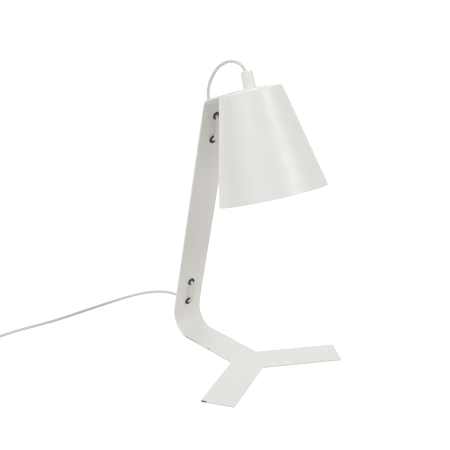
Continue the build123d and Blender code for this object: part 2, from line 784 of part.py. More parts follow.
# Put-away coil: spirals in on the lower layer, climbs, spirals out on the upper one
coil_low = TIE + CORD_R + TIE_GAP
coil_high = coil_low + COIL_LAYER
lead = CORD
half = COIL_PITCH / 2
reach = COIL_INNER + COIL_TURNS_IN * COIL_PITCH
turns = []
side = -1
for _ in range(2 * COIL_TURNS_IN):
    turns.append((side * reach, -side * (reach - half), coil_low))
    reach -= half
    side = -side
tucked = COIL_INNER - COIL_TUCK
climb = (side * COIL_INNER, -side * tucked)
side = -side
reach = COIL_INNER + half
rise = [(side * tucked, -side * reach, coil_high)]
for _ in range(2 * COIL_TURNS_IN - 2):
    side = -side
    rise.append((side * reach, -side * (reach + half), coil_high))
    reach += half
coil_start = Vector(COIL_X + turns[0][0], COIL_Y, coil_low)
coil_end = Vector(COIL_X + rise[-1][1], COIL_Y, coil_high)


def half_turn(start_x, end_x, height):
    """A level half turn about the coil's middle, always anticlockwise."""
    swing = -1 if start_x < end_x else 1
    middle = ((start_x + end_x) / 2, swing * abs(end_x - start_x) / 2)
    ThreePointArc(
        (COIL_X + start_x, COIL_Y, height),
        (COIL_X + middle[0], COIL_Y + middle[1], height),
        (COIL_X + end_x, COIL_Y, height),
    )


with BuildPart() as cord_coil:
    with BuildLine() as winding:
        Line(coil_start + Vector(0, lead, 0), coil_start)
        for start_x, end_x, height in turns:
            half_turn(start_x, end_x, height)
        swing = -1 if climb[0] < climb[1] else 1
        low_end = Vector(COIL_X + climb[0], COIL_Y, coil_low)
        high_end = Vector(COIL_X + climb[1], COIL_Y, coil_high)
        crest = (low_end + high_end) / 2 + Vector(0, swing, 0) * (high_end - low_end).length / 2
        TangentArc(low_end, crest, tangent=(0, swing, 0))
        TangentArc(crest, high_end, tangent=high_end - low_end)
        for start_x, end_x, height in rise:
            half_turn(start_x, end_x, height)
        Line(coil_end, coil_end - Vector(0, lead, 0))
    with BuildSketch(Plane(origin=coil_start + Vector(0, lead, 0), z_dir=(0, -1, 0))):
        Circle(CORD_R)
    sweep(path=winding.wires()[0])
cord_coil.part.label = "cord_coil"
export_step(cord_coil.part, "parts/cord_coil.step")

coil_path = winding.wires()[0]
coil_length = coil_path.length
samples = [coil_path @ (i / 900) for i in range(901)]
step = coil_length / 900
apart = int(3 * CORD / step)
least = min(
    (samples[i] - samples[j]).length
    for i in range(0, 901)
    for j in range(i + apart, 901)
)
print("cord_coil length", round(coil_length, 1), "least gap to itself", round(least - CORD, 2),
      "volume over section x length",
      round(cord_coil.part.volume / (pi * CORD_R**2 * coil_length), 4))

# Flex between the switch and the coil, and between the coil and the plug
leave_x = SWITCH_X - SWITCH_LENGTH / 2 - SLEEVE
link = [
    Vector(leave_x, SWITCH_Y, SWITCH_SPLIT),
    Vector(leave_x - SWITCH_LEAD_OUT, SWITCH_Y, SWITCH_SPLIT),
    *[Vector(*point) for point in TO_COIL],
    Vector(*COIL_APPROACH, coil_low),
    coil_start + Vector(0, lead + COIL_LEAD_IN, 0),
    coil_start + Vector(0, lead, 0),
]
link_length = flex(link, "cord_link")
plug_x = coil_end.X + PLUG_OFFSET
plug_mid = PLUG_THICK / 2
tail = [
    coil_end - Vector(0, lead, 0),
    coil_end - Vector(0, lead + COIL_LEAD_OUT, 0),
    Vector(plug_x, PLUG_Y + PLUG_RELIEF + PLUG_LEAD, plug_mid),
    Vector(plug_x, PLUG_Y + PLUG_RELIEF, plug_mid),
]
tail_length = flex(tail, "cord_tail")
print("free flex in all", round(free_length + link_length + coil_length + tail_length
                                + SWITCH_LENGTH + 2 * SLEEVE, 1), "laced", round(laced_length, 1))

# Tie: a soft band round the turns of the coil
tie_out = COIL_INNER + COIL_TURNS_IN * COIL_PITCH - half + CORD_R + TIE_FIT
tie_in = (tucked**2 - (TIE_WIDTH / 2) ** 2) ** 0.5 - CORD_R - TIE_FIT
tie_top = coil_high + CORD_R + TIE_FIT
with BuildPart() as cord_tie:
    with BuildSketch(Plane(origin=(COIL_X, COIL_Y, 0), x_dir=(1, 0, 0), z_dir=(0, -1, 0))):
        with Locations(((tie_in + tie_out) / 2, (tie_top + TIE) / 2)):
            RectangleRounded(tie_out - tie_in + 2 * TIE, tie_top + TIE, CORD_R)
            RectangleRounded(tie_out - tie_in, tie_top - TIE, CORD_R - TIE, mode=Mode.SUBTRACT)
    extrude(amount=TIE_WIDTH / 2, both=True)
cord_tie.part.label = "cord_tie"
export_step(cord_tie.part, "parts/cord_tie.step")

# Switch: base and cover shells, sleeves, screws, contact blocks and rocker
SWITCH = Plane(origin=(SWITCH_X, SWITCH_Y, 0))
BOSSES = ((-BOSS_X, BOSS_Y), (BOSS_X, -BOSS_Y))
inner_length = SWITCH_LENGTH - 2 * SWITCH_WALL
inner_width = SWITCH_WIDTH - 2 * SWITCH_WALL
sleeve_axis = Axis((SWITCH_X, SWITCH_Y, SWITCH_SPLIT), (1, 0, 0))
with BuildPart() as switch_base:
    with BuildSketch(SWITCH):
        RectangleRounded(SWITCH_LENGTH, SWITCH_WIDTH, SWITCH_CORNER)
    extrude(amount=SWITCH_SPLIT)
    chamfer(switch_base.faces().sort_by(Axis.Z)[0].edges(), length=SWITCH_UNDER_EDGE)
    with BuildSketch(SWITCH.offset(SWITCH_WALL)):
        RectangleRounded(inner_length, inner_width, SWITCH_CORNER - SWITCH_WALL)
        with Locations(*BOSSES):
            Circle(BOSS_R, mode=Mode.SUBTRACT)
    extrude(amount=SWITCH_SPLIT, mode=Mode.SUBTRACT)
    with BuildSketch(SWITCH):
        with Locations(*BOSSES):
            Circle(SCREW_R + 3 * SCREW_FIT)
    extrude(amount=SWITCH_SPLIT, mode=Mode.SUBTRACT)
    with BuildSketch(SWITCH):
        with Locations(*BOSSES):
            Circle(SCREW_HEAD_R + 3 * SCREW_FIT)
    extrude(amount=SCREW_SUNK + SCREW_HEAD + SCREW_FIT, mode=Mode.SUBTRACT)
    with BuildSketch(Plane.YZ.offset(SWITCH_X - SWITCH_LENGTH)):
        with Locations((SWITCH_Y, SWITCH_SPLIT)):
            Circle(SLEEVE_NECK_R + PLUG_FIT)
    extrude(amount=2 * SWITCH_LENGTH, mode=Mode.SUBTRACT)
switch_base.part.label = "switch_base"
export_step(switch_base.part, "parts/switch_base.step")

rocker_half = ROCKER_WIDTH / 2
opening = (2 * (ROCKER_R + ROCKER_GAP), ROCKER_WIDTH + 2 * ROCKER_GAP)
cover_inside = SWITCH_HEIGHT - SWITCH_WALL
with BuildPart() as switch_cover:
    with BuildSketch(SWITCH.offset(SWITCH_SPLIT)):
        RectangleRounded(SWITCH_LENGTH, SWITCH_WIDTH, SWITCH_CORNER)
    extrude(amount=SWITCH_HEIGHT - SWITCH_SPLIT)
    fillet(switch_cover.faces().sort_by(Axis.Z)[-1].edges(), radius=SWITCH_EDGE)
    with BuildSketch(SWITCH.offset(SWITCH_SPLIT)):
        RectangleRounded(inner_length, inner_width, SWITCH_CORNER - SWITCH_WALL)
        with Locations(*BOSSES):
            Circle(BOSS_R, mode=Mode.SUBTRACT)
        with Locations(*[(0, s * (opening[1] + COLLAR) / 2) for s in (-1, 1)]):
            Rectangle(COLLAR_LENGTH, COLLAR, mode=Mode.SUBTRACT)
    extrude(amount=cover_inside - SWITCH_SPLIT, mode=Mode.SUBTRACT)
    with BuildSketch(SWITCH.offset(SWITCH_SPLIT)):
        Rectangle(*opening)
    extrude(amount=SWITCH_HEIGHT, mode=Mode.SUBTRACT)
    with BuildSketch(SWITCH.offset(SWITCH_SPLIT)):
        with Locations(*[(0, s * (opening[1] + COLLAR) / 2) for s in (-1, 1)]):
            Rectangle(COLLAR_LENGTH, COLLAR + SCREW_FIT)
    extrude(amount=COLLAR_RISE, mode=Mode.SUBTRACT)
    with BuildSketch(Plane.XZ.offset(-SWITCH_Y)):
        with Locations((SWITCH_X, ROCKER_PIVOT)):
            Circle(PIN_R + PIN_FIT)
    extrude(amount=opening[1] / 2 + COLLAR, both=True, mode=Mode.SUBTRACT)
    with BuildSketch(SWITCH.offset(SWITCH_SPLIT)):
        with Locations(*BOSSES):
            Circle(SCREW_R + SCREW_FIT)
    extrude(amount=SCREW_HOLE, mode=Mode.SUBTRACT)
    with BuildSketch(Plane.YZ.offset(SWITCH_X - SWITCH_LENGTH)):
        with Locations((SWITCH_Y, SWITCH_SPLIT)):
            Circle(SLEEVE_NECK_R + PLUG_FIT)
    extrude(amount=2 * SWITCH_LENGTH, mode=Mode.SUBTRACT)
switch_cover.part.label = "switch_cover"
export_step(switch_cover.part, "parts/switch_cover.step")

with BuildPart() as switch_sleeves:
    with BuildSketch(Plane(origin=(SWITCH_X, SWITCH_Y, SWITCH_SPLIT),
                           x_dir=(1, 0, 0), z_dir=(0, -1, 0))):
        end = SWITCH_LENGTH / 2
        with BuildLine():
            Polyline(
                (end - SWITCH_WALL - SLEEVE_FLANGE, 0),
                (end - SWITCH_WALL - SLEEVE_FLANGE, SLEEVE_FLANGE_R),
                (end - SWITCH_WALL, SLEEVE_FLANGE_R),
                (end - SWITCH_WALL, SLEEVE_NECK_R),
                (end, SLEEVE_NECK_R),
                (end, SLEEVE_R),
                (end + SLEEVE_COLLAR, SLEEVE_R),
                (end + SLEEVE, SLEEVE_TIP_R),
                (end + SLEEVE, 0),
                close=True,
            )
        make_face()
    revolve(axis=sleeve_axis)
    mirror(about=Plane.YZ.offset(SWITCH_X))
switch_sleeves.part.label = "switch_sleeves"
export_step(switch_sleeves.part, "parts/switch_sleeves.step")

with BuildPart() as switch_screws:
    with Locations(*[(SWITCH_X + x, SWITCH_Y + y, SCREW_SUNK) for x, y in BOSSES]):
        Cylinder(SCREW_HEAD_R, SCREW_HEAD, align=(Align.CENTER, Align.CENTER, Align.MIN))
        Cylinder(SCREW_R, SWITCH_SPLIT + SCREW_GRIP, align=(Align.CENTER, Align.CENTER, Align.MIN))
switch_screws.part.label = "switch_screws"
export_step(switch_screws.part, "parts/switch_screws.step")

with BuildPart() as switch_contacts:
    with Locations(*[(SWITCH_X + s * TERMINAL_BLOCK_X, SWITCH_Y, SWITCH_WALL) for s in (-1, 1)]):
        Box(*TERMINAL_BLOCK, align=(Align.CENTER, Align.CENTER, Align.MIN))
switch_contacts.part.label = "switch_contacts"
export_step(switch_contacts.part, "parts/switch_contacts.step")

wire_in = inner_length / 2 - SLEEVE_FLANGE - TERMINAL_BLOCK_X - TERMINAL_BLOCK[0] / 2
with BuildPart() as switch_wires:
    for s in (-1, 1):
        with BuildSketch(Plane.YZ.offset(SWITCH_X + s * (TERMINAL_BLOCK_X + TERMINAL_BLOCK[0] / 2))):
            with Locations((SWITCH_Y - WIRE_PAIR, SWITCH_SPLIT), (SWITCH_Y + WIRE_PAIR, SWITCH_SPLIT)):
                Circle(WIRE_R)
        extrude(amount=s * wire_in)
switch_wires.part.label = "switch_wires"
export_step(switch_wires.part, "parts/switch_wires.step")

with BuildPart() as switch_blade:
    with BuildSketch(Plane(origin=(SWITCH_X, SWITCH_Y, 0), x_dir=(1, 0, 0), z_dir=(0, -1, 0))):
        reach_x = TERMINAL_BLOCK_X - TERMINAL_BLOCK[0] / 2
        with BuildLine():
            Polyline(
                (-reach_x, BLADE_FOOT),
                (-reach_x, BLADE_FOOT + BLADE),
                (BLADE_TAB - reach_x, BLADE_FOOT + BLADE),
                (0, BLADE_CREST),
                (reach_x - BLADE_TAB, BLADE_FOOT + BLADE),
                (reach_x, BLADE_FOOT + BLADE),
                (reach_x, BLADE_FOOT),
                (reach_x - BLADE_TAB, BLADE_FOOT),
                (0, BLADE_CREST - BLADE),
                (BLADE_TAB - reach_x, BLADE_FOOT),
                close=True,
            )
        make_face()
    extrude(amount=BLADE_WIDTH / 2, both=True)
switch_blade.part.label = "switch_blade"
export_step(switch_blade.part, "parts/switch_blade.step")

rocker_plane = Plane(
    origin=(SWITCH_X, SWITCH_Y, ROCKER_PIVOT),
    x_dir=(cos(radians(ROCKER_TILT)), 0, sin(radians(ROCKER_TILT))),
    z_dir=(0, -1, 0),
)
ear_x = (ROCKER_R**2 - ROCKER_EAR**2) ** 0.5
under_x = (ROCKER_R**2 - ROCKER_UNDER**2) ** 0.5
with BuildPart() as switch_rocker:
    with BuildSketch(rocker_plane):
        with BuildLine():
            Polyline((-ear_x, ROCKER_EAR), (0, ROCKER_MIDDLE), (ear_x, ROCKER_EAR))
            ThreePointArc((ear_x, ROCKER_EAR), (ROCKER_R, 0), (under_x, -ROCKER_UNDER))
            Line((under_x, -ROCKER_UNDER), (-under_x, -ROCKER_UNDER))
            ThreePointArc((-under_x, -ROCKER_UNDER), (-ROCKER_R, 0), (-ear_x, ROCKER_EAR))
        make_face()
    extrude(amount=rocker_half, both=True)
    with BuildSketch(rocker_plane):
        Circle(PIN_R)
    extrude(amount=opening[1] / 2 + COLLAR, both=True)
switch_rocker.part.label = "switch_rocker"
export_step(switch_rocker.part, "parts/switch_rocker.step")

# Plug: body, relief, pins with insulating sleeves
front = PLUG_Y - PLUG_LENGTH
with BuildPart() as plug_body:
    with BuildSketch(Plane.XY):
        with BuildLine():
            FilletPolyline(
                (plug_x - PLUG_SHOULDER / 2, PLUG_Y),
                (plug_x - PLUG_WIDTH / 2, PLUG_Y - PLUG_TAPER),
                (plug_x - PLUG_WIDTH / 2, front),
                (plug_x + PLUG_WIDTH / 2, front),
                (plug_x + PLUG_WIDTH / 2, PLUG_Y - PLUG_TAPER),
                (plug_x + PLUG_SHOULDER / 2, PLUG_Y),
                radius=[PLUG_HIP_R, PLUG_CORNER, PLUG_CORNER, PLUG_HIP_R],
            )
            Line((plug_x - PLUG_SHOULDER / 2, PLUG_Y), (plug_x + PLUG_SHOULDER / 2, PLUG_Y))
        make_face()
    extrude(amount=PLUG_THICK)
    rims = plug_body.edges().filter_by(lambda e: abs(e.center().Z - plug_mid) > plug_mid - PLUG_FIT)
    chamfer(rims, length=PLUG_EDGE)
    with BuildSketch(Plane.XZ.offset(-front)):
        with Locations(*[(plug_x + s * PIN_SPACING / 2, plug_mid) for s in (-1, 1)]):
            Circle(PLUG_CORE_R + PLUG_FIT)
    extrude(amount=-PLUG_CORE_DEPTH, mode=Mode.SUBTRACT)
plug_body.part.label = "plug_body"
export_step(plug_body.part, "parts/plug_body.step")

with BuildPart() as plug_pins:
    for s in (-1, 1):
        pin_x = plug_x + s * PIN_SPACING / 2
        with BuildSketch(Plane.XZ.offset(-front - PLUG_CORE_DEPTH + PLUG_FIT)):
            with Locations((pin_x, plug_mid)):
                Circle(PLUG_CORE_R)
        extrude(amount=PLUG_CORE_DEPTH - PLUG_FIT + PLUG_PIN_LENGTH - PLUG_PIN_BARE)
        with BuildSketch(Plane.XZ.offset(-front + PLUG_PIN_LENGTH - PLUG_PIN_BARE)):
            with Locations((pin_x, plug_mid)):
                Circle(PLUG_PIN_R)
        extrude(amount=PLUG_PIN_BARE)
    tips = plug_pins.edges().filter_by(GeomType.CIRCLE).group_by(Axis.Y)[0]
    chamfer(tips, length=PLUG_PIN_TIP)
plug_pins.part.label = "plug_pins"
export_step(plug_pins.part, "parts/plug_pins.step")

with BuildPart() as pin_sleeves:
    with BuildSketch(Plane.XZ.offset(-front)):
        with Locations(*[(plug_x + s * PIN_SPACING / 2, plug_mid) for s in (-1, 1)]):
            Circle(PLUG_SLEEVE_R)
    extrude(amount=PLUG_PIN_LENGTH - PLUG_PIN_BARE, taper=PLUG_SLEEVE_TAPER)
    with BuildSketch(Plane.XZ.offset(-front)):
        with Locations(*[(plug_x + s * PIN_SPACING / 2, plug_mid) for s in (-1, 1)]):
            Circle(PLUG_CORE_R + PLUG_FIT)
    extrude(amount=PLUG_PIN_LENGTH - PLUG_PIN_BARE, mode=Mode.SUBTRACT)
pin_sleeves.part.label = "pin_sleeves"
export_step(pin_sleeves.part, "parts/pin_sleeves.step")

ring = PLUG_RELIEF / (2 * RELIEF_RINGS + 1)
with BuildPart() as plug_relief:
    with BuildSketch(Plane(origin=(plug_x, PLUG_Y, plug_mid), x_dir=(0, 1, 0), z_dir=(1, 0, 0))):
        outline = [(0, 0)]
        for i in range(2 * RELIEF_RINGS + 1):
            thick = RELIEF_R + (RELIEF_TIP_R - RELIEF_R) * i / (2 * RELIEF_RINGS)
            depth = thick - RELIEF_GROOVE * (i % 2)
            outline += [(i * ring, depth), ((i + 1) * ring, depth)]
        outline.append((PLUG_RELIEF, 0))
        with BuildLine():
            Polyline(*outline, close=True)
        make_face()
    revolve(axis=Axis((plug_x, PLUG_Y, plug_mid), (0, 1, 0)))
plug_relief.part.label = "plug_relief"
export_step(plug_relief.part, "parts/plug_relief.step")
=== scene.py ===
"""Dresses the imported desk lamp: folded stand, cone shade, lampholder and bulb, laced flex,
in-line switch, coil and plug, in a pale studio. Metres, +Z up, the table at z = 0.
A piece's own sizes are in millimetres, and heights in the head are over the shade's top.
"""

import logging
import math
from collections.abc import Iterable, Sequence
from dataclasses import dataclass, replace
from enum import Enum

import bmesh
import bpy
from bpy.types import Material, Node, NodeSocket, Object
from mathutils import Matrix, Vector


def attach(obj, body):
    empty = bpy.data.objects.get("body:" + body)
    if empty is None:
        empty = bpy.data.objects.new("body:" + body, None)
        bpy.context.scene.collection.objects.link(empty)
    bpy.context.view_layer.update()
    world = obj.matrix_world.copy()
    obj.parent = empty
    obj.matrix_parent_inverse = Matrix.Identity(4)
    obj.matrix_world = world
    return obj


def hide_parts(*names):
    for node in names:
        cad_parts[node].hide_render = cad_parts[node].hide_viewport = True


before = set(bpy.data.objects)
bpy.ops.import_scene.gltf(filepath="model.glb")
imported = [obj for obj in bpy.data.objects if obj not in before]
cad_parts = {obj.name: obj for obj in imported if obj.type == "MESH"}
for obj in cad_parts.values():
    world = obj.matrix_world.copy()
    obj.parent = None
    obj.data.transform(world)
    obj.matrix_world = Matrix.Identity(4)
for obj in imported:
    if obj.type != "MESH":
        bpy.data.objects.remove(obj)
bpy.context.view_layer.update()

Pair = tuple[float, float]
Triple = tuple[float, float, float]

MM = 0.001
MERGE = 0.000002
WHITE = (1.0, 1.0, 1.0)
# Degrees up to which faces are one flat face, and past which an edge is eased or shaded sharp
FLAT, EASED, SHARP = 0.4, 30.0, 35.0
log = logging.getLogger("desk_lamp")


class Body(Enum):
    """The bodies that pieces ride on."""

    LAMP = "lamp"
    BULB = "bulb"
    ROCKER = "rocker"


class Edge(Enum):
    """How far the edges of a rigid piece are eased, in metres."""

    SHEET = 0.00035
    MOULDED = 0.0003
    TURNED = 0.00015
    FINE = 0.00008


@dataclass(frozen=True)
class SheetFrame:
    """A flat frame on one stretch of the folded sheet.

    Attributes:
        origin: The frame's origin in the row frame, in metres.
        aside: The direction across the strip.
        along: The direction along the strip.
        out: The direction off the sheet, on the side that the frame is for.
    """

    origin: Vector
    aside: Vector
    along: Vector
    out: Vector

    def at(self, along: float, out: float, aside: float = 0.0) -> Vector:
        """A point of the row frame from millimetres along, out of and across the sheet."""
        return self.origin + MM * (self.along * along + self.out * out + self.aside * aside)

    def matrix(self, height: float) -> Matrix:
        """The matrix that sets X, Y and Z aside, along and out, from a height off the sheet."""
        turned = Matrix((self.aside, self.along, self.out)).transposed().to_4x4()
        return Matrix.Translation(self.origin) @ turned @ Matrix.Translation((0, 0, height * MM))


def leaning_frame(origin: Triple, lean: float, rises: bool) -> SheetFrame:
    """A frame that leans about X.

    Args:
        origin: The origin in millimetres.
        lean: The lean in degrees.
        rises: True for the upright's front face, False for the top of the shade.

    Returns:
        The frame, with its aside along +X.
    """
    s, c = math.sin(math.radians(lean)), math.cos(math.radians(lean))
    along = Vector((0, -s, c)) if rises else Vector((0, c, -s))
    out = Vector((0, -c, -s)) if rises else Vector((0, s, c))
    return SheetFrame(MM * Vector(origin), Vector((1, 0, 0)), along, out)


def in_metres(points: Iterable[Sequence[float]]) -> list[Vector]:
    """Vectors in metres from points in millimetres."""
    return [MM * Vector(point) for point in points]


def way_to(azimuth: float, elevation: float) -> Vector:
    """The way to a turn about Z from the lamp's front and a height, both in degrees."""
    az, el = math.radians(azimuth), math.radians(elevation)
    return Vector((math.sin(az) * math.cos(el), -math.cos(az) * math.cos(el), math.sin(el)))


UPRIGHT = leaning_frame((0, 182.8, 0.5), 15.4, rises=True)
HEAD = leaning_frame((0, -11.6, 454.3), 18.0, rises=False)


# Finishes


class NodeSheet:
    """Adds and joins the nodes of one tree."""

    def __init__(self, tree: bpy.types.NodeTree) -> None:
        """Starts on a tree."""
        self.tree = tree

    def add(self, kind: str, inputs: dict[str | int, object] | None = None,
            **settings: object) -> Node:
        """Adds a node.

        Args:
            kind: The node's type name.
            inputs: Values or sockets for its inputs, by input name or number.
            settings: Properties of the node.

        Returns:
            The node.
        """
        node = self.tree.nodes.new(kind)
        for key, value in settings.items():
            setattr(node, key, value)
        for key, value in (inputs or {}).items():
            if isinstance(value, NodeSocket):
                self.tree.links.new(value, node.inputs[key])
            else:
                node.inputs[key].default_value = value
        return node

    def out(self, kind: str, inputs: dict[str | int, object] | None = None,
            **settings: object) -> NodeSocket:
        """Adds a node, and gives the first of its outputs that is in use."""
        return next(o for o in self.add(kind, inputs, **settings).outputs if o.enabled)

    def maths(self, operation: str, first: object, second: object) -> NodeSocket:
        """What an operation makes of two values."""
        return self.out("ShaderNodeMath", {0: first, 1: second}, operation=operation)

    def noise(self, where: NodeSocket, size: float, detail: float = 2.0) -> NodeSocket:
        """A noise whose features are about size metres across."""
        inputs = {"Vector": where, "Scale": 1 / size, "Detail": detail}
        return self.out("ShaderNodeTexNoise", inputs)

    def cells(self, where: NodeSocket, size: float, feature: str) -> NodeSocket:
        """The distance to the nearest of points that lie about size metres apart."""
        return self.out("ShaderNodeTexVoronoi", {"Vector": where, "Scale": 1 / size},
                        feature=feature)

    def ramp(self, value: NodeSocket, given: Pair, wanted: Pair) -> NodeSocket:
        """Maps a given range of values on to the wanted one."""
        limits = zip(("From Min", "From Max", "To Min", "To Max"), (*given, *wanted))
        return self.out("ShaderNodeMapRange", {"Value": value, **dict(limits)})

    def mixed_colour(self, share: NodeSocket, first: object, second: object) -> NodeSocket:
        """Goes from one colour to another by a share from 0 to 1."""
        return self.out("ShaderNodeMix", {"Factor": share, "A": first, "B": second},
                        data_type="RGBA")

    def mixed_shader(self, share: object, first: NodeSocket, second: NodeSocket) -> NodeSocket:
        """Goes from one shader to another by a share from 0 to 1."""
        return self.out("ShaderNodeMixShader", {0: share, 1: first, 2: second})

    def glow(self, kind: str, colour: Triple, strength: float) -> NodeSocket:
        """An even light of one colour, from a surface or from all round."""
        return self.out(kind, {"Color": (*colour, 1.0), "Strength": strength})

    def seen_directly(self) -> NodeSocket:
        """Tells what the camera sees, also by reflection or through glass.

        Returns:
            The socket, 1 for such rays.
        """
        path = self.add("ShaderNodeLightPath").outputs
        mirrored = self.maths("MAXIMUM", path["Is Camera Ray"], path["Is Glossy Ray"])
        return self.maths("MAXIMUM", mirrored, path["Is Transmission Ray"])


def blank_sheet(owner: Material | bpy.types.World) -> NodeSheet:
    """Empties the tree of a material or the world.

    Args:
        owner: The material or world.

    Returns:
        The sheet of its tree.
    """
    owner.use_nodes = True
    owner.node_tree.nodes.clear()
    return NodeSheet(owner.node_tree)


@dataclass(frozen=True)
class Finish:
    """A surface finish made of procedural nodes.

    Attributes:
        name: The material's name.
        slot: The name of its material slot; not used.
        colour: Its linear base colour.
        roughness: Its mean roughness.
        uneven: The share by which its roughness drifts.
        smear: The size of that drift, as a share of the mottle's.
        mottle: The share by which its lightness drifts.
        mottle_size: The size of that drift, in metres.
        grain: The size of its surface grain, in metres.
        relief: The height of that grain, in metres.
        metallic: 1 for bare metal.
        specular: The strength of its reflection.
        coat: The weight of a clear gloss on top.
        coat_roughness: The roughness of that gloss.
        midrange: The part of a noise that a drift runs over.
    """

    name: str
    slot: str
    colour: Triple
    roughness: float
    uneven: float = 0.12
    smear: float = 0.4
    mottle: float = 0.02
    mottle_size: float = 0.04
    grain: float = 0.0008
    relief: float = 0.00001
    metallic: float = 0.0
    specular: float = 0.5
    coat: float = 0.0
    coat_roughness: float = 0.12
    midrange: Pair = (0.3, 0.7)

    def grain_height(self, sheet: NodeSheet, where: NodeSocket) -> NodeSocket:
        """The height of the grain, from 0 to 1; each kind of finish has its own."""
        return sheet.noise(where, self.grain, detail=3.0)

    def tint(self, sheet: NodeSheet, where: NodeSocket) -> NodeSocket:
        """The base colour with its slow drift in lightness.

        Args:
            sheet: The material's tree.
            where: Places in the piece's own metres.

        Returns:
            The colour.
        """
        mottling = sheet.noise(where, self.mottle_size, detail=4.0)
        drift = sheet.ramp(mottling, self.midrange, (0.0, 1.0))
        darker = [c * (1 - self.mottle) for c in self.colour]
        lighter = [min(1.0, c * (1 + self.mottle)) for c in self.colour]
        return sheet.mixed_colour(drift, (*darker, 1.0), (*lighter, 1.0))

    def material(self) -> Material:
        """Makes the material, or gives the one that is already made.

        Returns:
            The material.
        """
        made = bpy.data.materials.get(self.name)
        if made:
            return made
        made = bpy.data.materials.new(self.name)
        sheet = blank_sheet(made)
        where = sheet.add("ShaderNodeTexCoord").outputs["Object"]
        smears = sheet.noise(where, self.mottle_size * self.smear, detail=5.0)
        spread = self.uneven * self.roughness
        limits = (self.roughness - spread, self.roughness + spread)
        surface = sheet.add("ShaderNodeBsdfPrincipled", {
            "Base Color": self.tint(sheet, where),
            "Roughness": sheet.ramp(smears, self.midrange, limits),
            "Metallic": self.metallic,
            "Specular IOR Level": self.specular,
            "Coat Weight": self.coat,
            "Coat Roughness": self.coat_roughness,
            "Normal": sheet.out("ShaderNodeBump", {
                "Height": self.grain_height(sheet, where), "Distance": self.relief,
                "Strength": 1.0}),
        })
        self.adjust(surface)
        sheet.add("ShaderNodeOutputMaterial", {"Surface": surface.outputs["BSDF"]})
        made.diffuse_color = (*self.colour, 1.0)
        return made

    def adjust(self, surface: Node) -> None:
        """Sets what only some finishes need on the surface shader."""


@dataclass(frozen=True)
class PowderCoat(Finish):
    """Baked powder paint: a low orange peel over a fine grain.

    Attributes:
        peel: The size of the peel and of the finer grain, as multiples of the grain.
    """

    mottle: float = 0.008
    mottle_size: float = 0.09
    grain: float = 0.0007
    relief: float = 0.000012
    peel: Pair = (3.0, 0.6)

    def grain_height(self, sheet: NodeSheet, where: NodeSocket) -> NodeSocket:
        """Orange peel with a finer grain on it."""
        both = (sheet.noise(where, self.grain * times) for times in self.peel)
        return sheet.maths("ADD", *both)


@dataclass(frozen=True)
class DarkMark:
    """One dark mark painted on the stand: a strip of painted shadow, or a dark spot.

    Attributes:
        middle: Its middle, in metres.
        turn: The way it runs, in degrees about Z.
        reach: Its half length, half width and half height.
    """

    middle: Triple
    turn: float
    reach: Triple


@dataclass(frozen=True)
class ShadowMarkedCoat(PowderCoat):
    """Powder paint with small dark marks painted in it: strips of painted shadow, and one dark
    spot.

    Attributes:
        dark_marks: The dark marks: strips of painted shadow, and one dark spot.
        under: The dark colour painted inside the marks.
        ragged: The size of the breaks in a mark's outline, in metres.
        rim: Where a mark's edge starts and ends, as shares of its reach with a noise added.
    """

    dark_marks: tuple[DarkMark, ...] = ()
    under: Triple = (0.035, 0.033, 0.03)
    ragged: float = 0.0012
    rim: Pair = (1.4, 1.55)

    def tint(self, sheet: NodeSheet, where: NodeSocket) -> NodeSocket:
        """The paint's colour, with each mark's dark colour inside it: painted shadow, or a dark
        spot.

        Args:
            sheet: The material's tree.
            where: Places in the piece's own metres.

        Returns:
            The colour.
        """
        colour = super().tint(sheet, where)
        rough = sheet.noise(where, self.ragged, detail=3.0)
        for dark_mark in self.dark_marks:
            local = sheet.out("ShaderNodeMapping", {
                "Vector": where, "Location": dark_mark.middle, "Scale": dark_mark.reach,
                "Rotation": (0.0, 0.0, math.radians(dark_mark.turn))}, vector_type="TEXTURE")
            away = sheet.out("ShaderNodeVectorMath", {0: local}, operation="LENGTH")
            inside = sheet.ramp(sheet.maths("ADD", away, rough), self.rim, (1.0, 0.0))
            # Inside each mark the colour turns dark: painted shadow, or the dark spot.
            colour = sheet.mixed_colour(inside, colour, (*self.under, 1.0))
        return colour


@dataclass(frozen=True)
class SparkTexture(Finish):
    """Moulded plastic with the fine pitted skin of its mould."""

    mottle: float = 0.012
    grain: float = 0.0005

    def grain_height(self, sheet: NodeSheet, where: NodeSocket) -> NodeSocket:
        """Small pits, softened by a noise."""
        pits = sheet.cells(where, self.grain, "SMOOTH_F1")
        return sheet.maths("ADD", pits, sheet.noise(where, self.grain * 2))


@dataclass(frozen=True)
class CellFoam(Finish):
    """Foam with open cells along its cut."""

    def grain_height(self, sheet: NodeSheet, where: NodeSocket) -> NodeSocket:
        """Round cells."""
        return sheet.cells(where, self.grain, "F1")


@dataclass(frozen=True)
class DrawnMetal(Finish):
    """Metal with the fine marks of drawing or turning, stretched along one axis.

    Attributes:
        stretch: How much closer the marks lie along X, Y and Z.
    """

    grain: float = 0.0003
    relief: float = 0.000004
    metallic: float = 1.0
    stretch: Triple = (1.0, 1.0, 12.0)

    def grain_height(self, sheet: NodeSheet, where: NodeSocket) -> NodeSocket:
        """A noise drawn out along one axis."""
        drawn = sheet.out("ShaderNodeMapping", {"Vector": where, "Scale": self.stretch})
        return sheet.noise(drawn, self.grain * 6, detail=3.0)


@dataclass(frozen=True)
class OpalShell(Finish):
    """Opal lamp glass: white, glossy and a little translucent.

    Attributes:
        milk: The share of light that goes into the shell.
        depth: How far it goes, in metres.
    """

    milk: float = 0.35
    depth: float = 0.004

    def adjust(self, surface: Node) -> None:
        """Lets light into the shell."""
        surface.inputs["Subsurface Weight"].default_value = self.milk
        surface.inputs["Subsurface Scale"].default_value = self.depth


